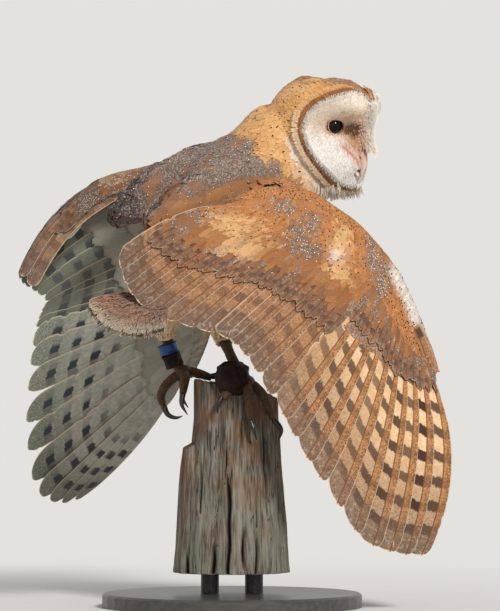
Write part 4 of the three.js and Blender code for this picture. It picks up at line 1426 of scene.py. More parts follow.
@dataclass(frozen=True)
class Livery:
    """Where each colour of the owl's coat lies.

    Attributes:
        back: unit vector out of the owl's back.
        mantle_at: a point on the border between the grey mantle and the golden neck.
        mantle_normal: the way from grey to gold.
    """

    back: tuple = (-0.48, -0.447, 0.755)
    mantle_at: tuple = (0.03, 0.0, 0.449)
    mantle_normal: tuple = (0.63, 0.05, 0.775)

    def border(self, points: Array) -> Array:
        """How near points are to the upper edge of the near wing, where the mantle turns orange.

        Args:
            points: the points.

        Returns:
            1 on the border, falling to 0 away from it.
        """
        edge = np.array([[-75, 382], [-40, 399], [20, 419], [68, 419]]) * MM
        line = route(edge, np.linspace(0, 1, 40), CHORDAL)
        gap = np.linalg.norm(points[:, None, ::2] - line[None], axis=2).min(axis=1)
        return ease(0.014, 0.004, gap) * ease(0.035, 0.01, points[:, 1])

    def body(self, points: Array, normals: Array, rng: np.random.Generator) -> tuple[Array, Array]:
        """Colours and marks of the neck, the trunk and the feathers over the shoulders.

        Args:
            points: where the feathers show.
            normals: the way that the skin faces there.
            rng: the source of chance.

        Returns:
            Colours in linear light, and marks (dot, grey, rim).
        """
        count = len(points)
        past = (points - np.array(self.mantle_at)) @ np.array(self.mantle_normal) / MM
        wander = (cloud(points, 0.022, 1) - 0.5) * 22
        golden = ease(-5, 6, past + wander)
        above = normals @ np.array(self.back)
        belly = ease(-0.2, -0.65, above)
        patch = cloud(points, 0.017, 2)
        mantle = blend(Tone.GREY, Tone.DARK_GREY, 0.15 * cloud(points, 0.03, 3))
        mantle = blend(mantle, Tone.ORANGE, 0.45 * ease(0.55, 0.8, patch))
        border = self.border(points)
        mantle = blend(mantle, blend(Tone.ORANGE, Tone.GOLD, patch), 0.85 * border)
        shadow = ease(-0.085, -0.105, points[:, 0]) * ease(0.0, 0.03, points[:, 1])
        mantle = blend(mantle, Tone.SLATE.rgb * 0.6, 0.9 * shadow)
        gold = blend(Tone.PALE_GOLD, Tone.GOLD, 0.25 + 0.6 * cloud(points, 0.02, 4))
        tint = blend(mantle, gold, golden)
        tint = blend(tint, blend(Tone.CREAM, Tone.PALE_GOLD, patch), belly)
        side, forward, height = HEAD.local(points)
        nearness = ease(42, 8, np.hypot(side, height + 36) - 18) * ease(-42, 0, forward)
        tint = blend(tint, Tone.WHITE, 0.75 * nearness * golden)
        chance = rng.random(count)
        dot = np.where(chance < 0.12, 0.5, 0.0)
        mottled = np.where(chance < 0.26, 1.0, 0.0)
        dot = np.where(golden > 0.5, dot, mottled) * (nearness < 0.5)
        dot = np.where(belly > 0.5, np.where(chance < 0.12, 0.5, 0.0), dot)
        grey = (1 - golden) * (1 - belly) * (1 - 0.6 * ease(0.56, 0.8, patch)) * (1 - 0.7 * border)
        return tint * (1 + 0.07 * rng.normal(0, 1, (count, 1))), np.stack([dot, grey, 0.25 * grey], axis=1)

    def shoulder(self, points: Array, normals: Array, rng: np.random.Generator) -> tuple[Array, Array]:
        """Colours and marks of the feathers over the shoulders, which are the back's all round."""
        return self.body(points, np.broadcast_to(np.array(self.back), points.shape), rng)

    def head(self, points: Array, normals: Array, rng: np.random.Generator) -> tuple[Array, Array]:
        """Colours and marks of the crown, the sides and the back of the head.

        Args:
            points: where the feathers show.
            normals: the way that the skin faces there.
            rng: the source of chance.

        Returns:
            Colours in linear light, and marks (dot, grey, rim).
        """
        count = len(points)
        side, forward, height = HEAD.local(points)
        mottle = cloud(points, 0.006, 5)
        gold = blend(Tone.PALE_GOLD, Tone.GOLD, 0.15 + 0.75 * cloud(points, 0.016, 6))
        crown = ease(17, 36, height) * ease(36, 16, np.abs(side)) + 0.8 * ease(-28, -44, forward)
        crown = np.maximum(crown, 0.9 * ease(0.62, 0.88, normals[:, 2]))
        crown = np.clip(crown, 0, 1) * ease(0.3, 0.6, cloud(points, 0.011, 7) + 0.25)
        tint = blend(gold, Tone.ORANGE.rgb * 0.85, 0.8 * crown)
        tint = blend(tint, Tone.UMBER, 0.5 * crown * ease(0.55, 0.8, mottle))
        low = ease(-8, -30, height) * ease(-42, -8, forward)
        tint = blend(tint, Tone.WHITE, 0.8 * low)
        dot = np.where(rng.random(count) < 0.11, 0.5, 0.0) * (low < 0.5)
        dot = np.where((crown > 0.5) & (rng.random(count) < 0.3), 1.0, dot)
        marks = np.stack([dot, 0.62 * crown, 0 * dot], axis=1)
        return tint * (1 + 0.05 * rng.normal(0, 1, (count, 1))), marks

    def face(self, points: Array, normals: Array, rng: np.random.Generator) -> tuple[Array, Array]:
        """Colours of the white disc, flushed round the eyes and brown between eye and bill.

        Args:
            points: where the feathers show.
            normals: the way that the skin faces there; not used.
            rng: the source of chance.

        Returns:
            Colours in linear light, and marks (dot, grey, rim).
        """
        count = len(points)
        side, _, height = HEAD.local(points)
        across = np.abs(side)
        from_eye = np.hypot(across - HEAD.eye_side, height - HEAD.eye_height)
        way = np.clip(((across - 18) * -11 + (height + 18) * -15) / 346, 0, 1)
        gape = np.hypot(across - (18 - 11 * way), height - (-18 - 15 * way))
        streaks = 0.5 + cloud(points * np.array([1, 1, 0.4]), 0.003, 8)
        tan = bell(across - 9, 7) * bell(height + 6, 9) * streaks
        smudge = bell(np.hypot(across - 11, (height - 0.5) * 0.65), 4.8)
        tint = coloured(
            Tone.WHITE,
            (Tone.CREAM, 0.4 * ease(-22, 6, height)),
            (Tone.CREAM, 0.5 * bell(across, 9) * ease(-26, -4, height)),
            (Tone.PALE_GOLD, 0.4 * bell(from_eye - 12, 10) * ease(-16, 0, height)),
            (Tone.PINK, 0.5 * bell(from_eye - 8, 6)),
            (Tone.PINK, 0.75 * bell(across - 7, 5) * bell(height + 20, 9)),
            (Tone.PINK, 0.6 * bell(gape, 4)),
            (Tone.FLESH, 0.9 * bell(gape, 1.3)),
            (Tone.ORANGE, np.clip(0.95 * tan, 0, 1)),
            (Tone.GOLD, 0.6 * bell(across - 9, 6) * bell(height + 13, 8)),
            (Tone.UMBER.rgb * 0.8, np.clip(1.7 * smudge, 0, 0.96)),
        )
        return tint * (1 + 0.025 * rng.normal(0, 1, (count, 1))), np.zeros((count, 3))

    def leg(self, points: Array, normals: Array, rng: np.random.Generator) -> tuple[Array, Array]:
        """Colours of the thighs and the feathered shanks.

        Args:
            points: where the feathers show.
            normals: the way that the skin faces there; not used.
            rng: the source of chance.

        Returns:
            Colours in linear light, and marks (dot, grey, rim).
        """
        count = len(points)
        # painted light: the thighs' pale gold and cream are brightened by 15 per cent
        tint = blend(Tone.PALE_GOLD, Tone.CREAM, 0.4 + 0.6 * cloud(points, 0.012, 9)) * 1.15
        marks = np.zeros((count, 3))
        marks[:, 0] = np.where(rng.random(count) < 0.04, 0.5, 0.0)
        return tint * (1 + 0.07 * rng.normal(0, 1, (count, 1))), marks

    def wing(
        self, part: str, s: Array, v: Array, side: int, painted_shade: float, rng: np.random.Generator
    ) -> tuple[Array, Array]:
        """Colours and marks of the coverts.

        Args:
            part: "arm" or "hand".
            s: how far out along that part each feather is.
            v: how far back from the front edge it shows.
            side: 1 for the upper side, -1 for the underside.
            painted_shade: how much painted shade greys and darkens the whole wing.
            rng: the source of chance.

        Returns:
            Colours in linear light, and marks (dot, grey, rim).
        """
        count = len(s)
        jitter = 1 + 0.08 * rng.normal(0, 1, (count, 1))
        chance = rng.random(count)
        if side < 0:
            edge = ease(0.16, 0.02, v)
            pale, grey = (Tone.PALE_GREY, 0.5 * rng.random(count)), (Tone.GREY, 0.45 * rng.random(count))
            # painted shade: the under coverts' white is painted darker
            tint = coloured(Tone.SILVER, pale, grey, (Tone.PALE_GOLD, np.clip(0.8 * edge, 0, 1)))
            dot = np.where(chance < 0.1, 0.4, 0.0)
            return tint * jitter, np.stack([dot, 0.25 + 0 * s, 0.5 + 0 * s], axis=1)
        base = blend(Tone.ORANGE, Tone.RUST, 0.35 * rng.random(count))
        base = blend(base, Tone.GOLD, 0.4 * rng.random(count))
        if part == "arm":
            bright = most(BRIGHT_ARM, s, v)
            smoky = np.maximum(most(SMOKY_ARM, s, v), ease(0.62, 0.8, v) * 0.6)
        else:
            bright = most(((0.2, 0.45, 0.2, 0.25),), s, v) * 0.3
            smoky = np.maximum(most(((0.05, 0.3, 0.2, 0.3),), s, v), 0.6 * ease(0.25, 0.7, v))
            smoky = smoky + 0.25 * (chance > 0.6)
        shift = 0.24 * rng.normal(0, 1, count)
        bright = ease(0.15, 0.95, bright + shift)
        # painted shade: the far wing's coverts turn smoky grey behind the front edge
        smoky = ease(0.2, 0.95, np.maximum(smoky, painted_shade * ease(0.06, 0.2, v)) + shift)
        tint = blend(base, Tone.PALE_GOLD, 0.7 * bright)
        tint = blend(tint, blend(Tone.SMOKE, Tone.GREY, chance * 0.8), 0.85 * smoky * (1 - 0.8 * bright))
        # painted shade: the far wing's coverts are darkened by two fifths
        tint = tint * (1 - 0.4 * (painted_shade > 0)) * (1 - 0.22 * ease(0.35, 0.6, v) * (1 - bright))[:, None]
        tint = blend(tint, Tone.WHITE, 0.6 * most(((0.73, 0.47, 0.04, 0.06),), s, v) * (part == "arm"))
        edge = ease(0.2, 0.06, v) * (part == "hand") * (painted_shade == 0)
        tint = blend(tint, Tone.WHITE, 0.95 * edge * ease(0.05, 0.2, s))
        dot = np.where(chance < 0.3 + 0.35 * smoky, np.where(smoky > 0.4, 1.0, 0.5), 0.0)
        grey = np.maximum(smoky * 0.95, 0.6 - 0.3 * bright)
        return tint * jitter, np.stack([dot, grey, 0.35 * smoky + 0.2 * bright], axis=1)


LIVERY = Livery()


# ---------------------------------------------------------------- the skin and the coats that grow on it


def move_to(piece: Piece, points: Array) -> None:
    """Gives the points of a piece new places."""
    piece.data.vertices.foreach_set("co", points.astype(np.float32).ravel())


def select_only(piece: Piece) -> None:
    """Makes one object the only selected one, and the active one."""
    bpy.ops.object.select_all(action="DESELECT")
    piece.select_set(True)
    bpy.context.view_layer.objects.active = piece


def points_of(mesh: bpy.types.Mesh, what: str = "vertices", key: str = "co") -> Array:
    """Reads one vector for each element of a mesh."""
    values = np.zeros(len(getattr(mesh, what)) * 3, np.float32)
    getattr(mesh, what).foreach_get(key, values)
    return values.reshape(-1, 3).astype(float)


def corners_of(mesh: bpy.types.Mesh) -> Array:
    """Reads the three corners of each triangle of a mesh."""
    values = np.zeros(len(mesh.loops), np.int32)
    mesh.loops.foreach_get("vertex_index", values)
    return values.reshape(-1, 3)


def gather(nodes: list[str]) -> tuple[Array, Array, Array]:
    """The points and triangles of some nodes of the frame, and the number of each triangle's node.

    Args:
        nodes: the names of the nodes.

    Returns:
        Points, triangles, and for each triangle the number of its node.
    """
    meshes = [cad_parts[node].data for node in nodes]
    points = [points_of(mesh) for mesh in meshes]
    starts = np.cumsum([0, *map(len, points[:-1])])
    corners = [corners_of(mesh) + start for mesh, start in zip(meshes, starts)]
    owners = [np.full(len(part), number) for number, part in enumerate(corners)]
    return np.concatenate(points), np.concatenate(corners), np.concatenate(owners)


def edit(piece: Piece, work: Callable, **settings: float) -> None:
    """Does one thing to all of a piece in edit mode.

    Args:
        piece: the piece.
        work: what is done to it.
        **settings: how it is done.
    """
    select_only(piece)
    bpy.ops.object.mode_set(mode="EDIT")
    bpy.ops.mesh.select_all(action="SELECT")
    work(**settings)
    bpy.ops.object.mode_set(mode="OBJECT")


def frame_copy(name: str, nodes: list[str]) -> Piece:
    """Copies nodes of the frame into one new object, with their doubled corners merged.

    Args:
        name: the name of the new object.
        nodes: the names of the nodes.

    Returns:
        The new object.
    """
    points, corners, _ = gather(nodes)
    piece = placed(name, triangle_mesh(name, points, corners.ravel()))
    edit(piece, bpy.ops.mesh.remove_doubles, threshold=SAME_PLACE)
    return piece


def modify(piece: Piece, kind: str, **settings: object) -> None:
    """Adds a modifier to a piece and applies it.

    Args:
        piece: the piece.
        kind: what the modifier does.
        **settings: its settings.
    """
    select_only(piece)
    modifier = piece.modifiers.new(kind.lower(), kind)
    for key, value in settings.items():
        setattr(modifier, key, value)
    bpy.ops.object.modifier_apply(modifier=modifier.name)


def surface(points: Array, corners: Array) -> BVHTree:
    """Makes a surface of triangles that can be searched."""
    return BVHTree.FromPolygons(points.tolist(), corners.tolist())


def nearest(tree: BVHTree, points: Array) -> tuple[Array, Array]:
    """The nearest places on a surface, and the triangles that they are in."""
    found = [tree.find_nearest(point) for point in points.tolist()]
    return np.array([hit[0] for hit in found]), np.array([hit[2] for hit in found])


@dataclass
class Chart:
    """A flat map of the frame's own low solids, on which the roots of a coat find their places."""

    nodes: list

    def __post_init__(self) -> None:
        """Unwraps a copy of the solids and keeps its triangles."""
        piece = frame_copy("chart", self.nodes)
        edit(piece, bpy.ops.uv.smart_project, angle_limit=math.radians(66), island_margin=0.01)
        self.points = points_of(piece.data)
        self.corners = corners_of(piece.data)
        values = np.zeros(len(piece.data.loops) * 2, np.float32)
        piece.data.uv_layers.active.data.foreach_get("uv", values)
        self.flat = values.reshape(-1, 3, 2)
        self.tree = surface(self.points, self.corners)
        bpy.data.objects.remove(piece)

    def find(self, points: Array) -> Array:
        """Places on the map for points near the solids.

        Args:
            points: the points.

        Returns:
            Two numbers for each point, from 0 to 1.
        """
        places, index = nearest(self.tree, points)
        a, b, c = (self.points[self.corners[index, k]] for k in range(3))
        whole = np.cross(b - a, c - a)
        area = np.maximum((whole * whole).sum(axis=1), 1e-20)
        share_b = (np.cross(places - a, c - a) * whole).sum(axis=1) / area
        share_c = (np.cross(b - a, places - a) * whole).sum(axis=1) / area
        shares = np.stack([1 - share_b - share_c, share_b, share_c], axis=1)
        return 0.004 + 0.992 * (self.flat[index] * shares[:, :, None]).sum(axis=1)


WINGS = ("wing_right", "wing_left")
FLESH = {
    "head": 0.0024,
    "neck": 0.0048,
    "trunk": 0.005,
    "thigh_right": 0.004,
    "thigh_left": 0.004,
    "scapulars_right": 0.003,
    "scapulars_left": 0.003,
    **{f"{wing}_{part}": depth for wing in WINGS for part, depth in (("upper_arm", 0.003), ("arm", 0.0006))},
    **{f"{wing}_hand": 0.0005 for wing in WINGS},
}


@dataclass
class Skin:
    """One closed skin that stands for all the flesh of the frame, inside it by the coat's depth."""

    voxel: float = 0.00205
    face_depth: float = 0.0012
    # painted shade: the skin under the coat is painted darker by this factor
    darker: float = 0.8
    far_from_tips: float = 50.0

    def __post_init__(self) -> None:
        """Keeps the frame's own solids, to find which one a place on the skin is part of."""
        self.names = list(FLESH)
        points, corners, self.owners = gather(self.names)
        self.solids = surface(points, corners)

    def number(self, points: Array) -> Array:
        """The number of the nearest solid for each point."""
        return self.owners[nearest(self.solids, points)[1]]

    def build(self) -> Piece:
        """Makes the skin and keeps what the coats need to know of it."""
        piece = frame_copy("owl_skin", self.names)
        modify(piece, "REMESH", mode="VOXEL", voxel_size=self.voxel)
        modify(piece, "SMOOTH", factor=0.5, iterations=3)
        points, normals = points_of(piece.data), points_of(piece.data, "vertex_normals", "vector")
        depth = np.array(list(FLESH.values()))[self.number(points)]
        depth[HEAD.on_face(points, 1.05)] = self.face_depth
        move_to(piece, points - normals * depth[:, None])
        modify(piece, "SMOOTH", factor=0.5, iterations=4)
        modify(piece, "TRIANGULATE", keep_custom_normals=False)
        self.points = points_of(piece.data)
        self.normals = points_of(piece.data, "vertex_normals", "vector")
        self.corners = corners_of(piece.data)
        self.tree = surface(self.points, self.corners)
        self.middles = self.points[self.corners].mean(axis=1)
        self.owner = np.array(self.names)[self.number(self.middles)]
        self.paint(piece)
        piece.data.shade_smooth()
        return finish_piece(piece, Plumage(), "golden_feathers", *self.names)

    def paint(self, piece: Piece) -> None:
        """Gives the skin the same markings as the coat."""
        rng = np.random.default_rng(1)
        owner = np.array(self.names)[self.number(self.points)]
        tint, marks = LIVERY.body(self.points, self.normals, rng)
        for test, colours in (
            (owner == "head", LIVERY.head),
            (HEAD.on_face(self.points), LIVERY.face),
            (np.char.startswith(owner, "thigh"), LIVERY.leg),
        ):
            tint[test], marks[test] = colours(self.points[test], self.normals[test], rng)
        left, right = (np.char.startswith(owner, f"wing_{side}") for side in ("left", "right"))
        tint[left | right] = blend(Tone.ORANGE, Tone.GREY, np.full((left | right).sum(), 0.4))
        below = right & (self.normals @ np.array([0.1, 0.9, -0.1]) > 0)
        below |= left & (self.normals @ np.array([-0.3, 1.0, 0.4]) < 0)
        # painted shade: the skin under the wings is painted a darkened white
        tint[below] = Tone.SILVER.rgb
        marks[:, 0] = 0
        # painted shade: the whole skin, which lies under the feathers, is darkened
        put(piece.data, "tint", "POINT", opaque(tint * self.darker))
        put(piece.data, "marks", "POINT", marks)
        put(piece.data, "vane", "POINT", np.tile([0.0, self.far_from_tips, 0.0], (len(tint), 1)))

    def snap(self, points: Array) -> tuple[Array, Array]:
        """Nearest places on the skin, with smooth normals."""
        places, index = nearest(self.tree, points)
        return places, unit(self.normals[self.corners[index]].mean(axis=1))

    def scatter(self, chosen: Array, spacing: float, rng: np.random.Generator) -> tuple[Array, Array]:
        """Spreads roots evenly over chosen triangles.

        Args:
            chosen: whether each triangle is part of the area.
            spacing: about how far apart the roots are.
            rng: the source of chance.

        Returns:
            Roots and the skin's normals there.
        """
        corners = self.corners[chosen]
        a, b, c = (self.points[corners[:, k]] for k in range(3))
        area = np.linalg.norm(np.cross(b - a, c - a), axis=1) / 2
        count = int(area.sum() / spacing**2 * 9)
        pick = rng.choice(len(corners), count, p=area / area.sum())
        u, w = rng.random(count), rng.random(count)
        over = u + w > 1
        u, w = np.where(over, 1 - u, u)[:, None], np.where(over, 1 - w, w)[:, None]
        points = a[pick] + (b - a)[pick] * u + (c - a)[pick] * w
        cells = np.floor(points / (spacing * 1.12)).astype(int)
        first = np.sort(np.unique(cells, axis=0, return_index=True)[1])
        return points[first], unit(self.normals[corners[pick[first]]].mean(axis=1))


@dataclass
class Coat:
    """One area of the coat: tufts of a kind, rooted evenly on the skin along a lie.

    Attributes:
        name: the piece's name.
        slot: its material slot.
        spacing: about how far apart the roots are.
        length: how long the tufts are.
        width: their half width.
        height: how far their tips stand off the skin.
        lie: gives directions along the coat for points and normals.
        colours: gives tints and marks for points and normals.
        rows: rings of points along each tuft.
        columns: points across each tuft.
        pointed: whether tufts narrow all the way to their tips.
        swirl: how much the directions wander, in radians.
        seed: start of the coat's chance.
    """

    name: str
    slot: str
    spacing: float
    length: float
    width: float
    height: float
    lie: object
    colours: object
    rows: int = 5
    columns: int = 3
    pointed: bool = False
    swirl: float = 0.13
    seed: int = 1
    dome: float = 0.3

    def build(self, skin: Skin, chosen: Array, chart: Chart) -> Piece:
        """Grows the tufts on the chosen triangles of the skin.

        Args:
            skin: the skin that they grow on.
            chosen: whether each of its triangles is part of the area.
            chart: the map for their places on the bake.

        Returns:
            The finished piece.
        """
        rng = np.random.default_rng(self.seed)
        roots, normals = skin.scatter(chosen, self.spacing, rng)
        count = len(roots)
        aim = self.lie(roots, normals)
        turn = rng.normal(0, self.swirl, (count, 1))
        flat = unit(aim - normals * (aim * normals).sum(axis=1, keepdims=True))
        flat = flat * np.cos(turn) + np.cross(normals, flat) * np.sin(turn)
        length = self.length * rng.uniform(0.8, 1.2, (count, 1))
        middle, middle_normal = skin.snap(roots + flat * length * 0.5)
        tip, tip_normal = skin.snap(roots + flat * length)
        lift = self.height * rng.uniform(0.7, 1.3, (count, 1))
        start = roots - normals * ROOT_DEPTH
        middle = middle + middle_normal * lift * 0.6
        tip = tip + tip_normal * lift
        bend = 2 * middle - (start + tip) / 2
        t = np.linspace(0, 1, self.rows + 1)[None, :, None]
        line = (1 - t) ** 2 * start[:, None] + 2 * t * (1 - t) * bend[:, None] + t**2 * tip[:, None]
        soft = unit(normals[:, None] * (1 - t) + tip_normal[:, None] * t)
        share = t[0, :, 0]
        end = np.clip((share - 0.5) / 0.5, 0, 1)
        blunt = (0.5 + 0.5 * ease(0, 0.35, share)) * np.sqrt(1 - end**2)
        outline = (1 - share**1.6) * (0.6 + 0.4 * ease(0, 0.3, share)) if self.pointed else blunt
        half = self.width * rng.uniform(0.85, 1.15, (count, 1)) * outline
        tint, marks = self.colours(line[:, -2], soft[:, -2], rng)
        more = {"patch": chart.find(roots), "soft": soft, "columns": self.columns, "dome": self.dome}
        return Vanes(line, square_to(line, soft), half, tint, marks, **more).build(self.name, Plumage(), self.slot)


# ---------------------------------------------------------------- the head


def sweep(
    spine: Array, widths: Array, depths: Array, across: Array, sides: int, steps: int, swell: object = None
) -> tuple[Array, Array, Array]:
    """A closed tapered limb: oval rings square to a curved spine.

    Args:
        spine: points along the middle, in metres.
        widths: half widths along it.
        depths: half depths along it.
        across: roughly the way that the widths lie.
        sides: points round each ring.
        steps: rings.
        swell: a factor on the radius, given shares along and angles round, or None.

    Returns:
        Points, triangles, and for each point its share along the spine.
    """
    share = np.linspace(0, 1, steps + 1)
    middle = route(spine, share)
    along = unit(np.gradient(middle, axis=0))
    deep = unit(np.cross(along, np.asarray(across, float)))
    wide = np.cross(deep, along)
    angle = turns(sides)
    rounding = np.sqrt(np.clip(1 - (1 - np.minimum(share, 1 - share) / 0.06) ** 2, 0.02, 1))
    rounding = np.where(np.minimum(share, 1 - share) > 0.06, 1, rounding)[:, None]
    factor = rounding * (1 if swell is None else swell(share[:, None], angle[None, :]))
    width, depth = route(widths, share)[:, None] * factor, route(depths, share)[:, None] * factor
    rings = (
        middle[:, None]
        + wide[:, None] * (width * np.cos(angle))[..., None]
        + deep[:, None] * (depth * np.sin(angle))[..., None]
    )
    ends = [middle[0] - along[0] * 0.15 * depth[0, 0], middle[-1] + along[-1] * 0.15 * depth[-1, 0]]
    points = np.concatenate([rings.reshape(-1, 3), ends])
    ring, last = np.arange(sides), steps * sides
    follow, none = (ring + 1) % sides, 0 * ring
    near = np.stack([none + len(points) - 2, ring, follow], axis=1)
    far = np.stack([none + len(points) - 1, last + follow, last + ring], axis=1)
    corners = outward(points, np.concatenate([walls(steps + 1, sides, False), near, far]))
    return points, corners, np.concatenate([np.repeat(share, sides), [0.0, 1.0]])


def turned(rings: Array, shares: Array) -> tuple[Array, Array, Array]:
    """Points, triangles and shares of a closed round wall, from its rings of points."""
    points, sides = rings.reshape(-1, 3), rings.shape[1]
    return points, outward(points, walls(len(rings), sides, True)), np.repeat(shares, sides)


def piece_of(name: str, parts: list) -> Piece:
    """Joins swept parts into one object with an attribute for the share along each.

    Args:
        name: its name.
        parts: points, triangles and shares of each part.

    Returns:
        The object.
    """
    points, corners, shares = zip(*parts)
    starts = np.cumsum([0, *map(len, points[:-1])])
    loops = np.concatenate([part + start for part, start in zip(corners, starts)]).ravel()
    mesh = triangle_mesh(name, np.concatenate(points), loops)
    put(mesh, "along", "POINT", np.concatenate(shares))
    return placed(name, mesh)


@dataclass(frozen=True)
class Eyeball:
    """A wet, near-black eye with a hint of brown round the pupil."""

    name: str = "wet_eye"

    def make(self) -> Material:
        """Builds the material."""
        g = Graph(self.name, roughness=0.03, specular_ior_level=0.2)
        out = g.attribute("along").outputs["Fac"]
        fibres = g.grain(g.places(), 900.0, 3.0, 0.6)
        iris = g.mix(fibres, Tone.BLACK, Tone.EYE)
        return g.paint(g.mix(g.step(out, 0.14, 0.2), Tone.PUPIL, iris))


@dataclass(frozen=True)
class Lid:
    """Thin bare pink skin with fine folds."""

    name: str = "lid_skin"

    def make(self) -> Material:
        """Builds the material."""
        g = Graph(self.name, roughness=0.45, specular_ior_level=0.4)
        folds = g.grain(g.places(), 1400.0, 3.0, 0.6)
        rim = g.step(g.attribute("along").outputs["Fac"], 0.35, 0.05)
        skin = g.mix(g.step(folds, 0.35, 0.7), Tone.HORN, Tone.PINK)
        return g.paint(g.mix(g.times(rim, 0.25), skin, Tone.UMBER), folds, 0.0002, 0.5)


@dataclass(frozen=True)
class Horn:
    """Bill or claw: horn that changes tone towards its tip, with fine growth lines.

    Attributes:
        name: the material's name.
        root: its tone where it grows.
        tip: its tone at the end.
        roughness: how matt it is.
    """

    name: str
    root: Tone
    tip: Tone
    roughness: float = 0.35

    def make(self) -> Material:
        """Builds the material."""
        g = Graph(self.name, roughness=self.roughness, coat_weight=0.15, coat_roughness=0.3)
        along = g.attribute("along").outputs["Fac"]
        cloudy = g.grain(g.places(), 260.0, 3.0, 0.6)
        lines = g.grain(g.places((1, 1, 3.5)), 700.0, 2.0, 0.5)
        share = g.plus(along, g.times(g.minus(cloudy, 0.5), 0.5))
        colour = g.mix(g.step(share, 0.25, 0.85), self.root, self.tip)
        colour = g.mix(g.step(lines, 0.5, 0.8, 0.0, 0.25), colour, Tone.UMBER)
        return g.paint(colour, lines, 0.0002, 0.4)


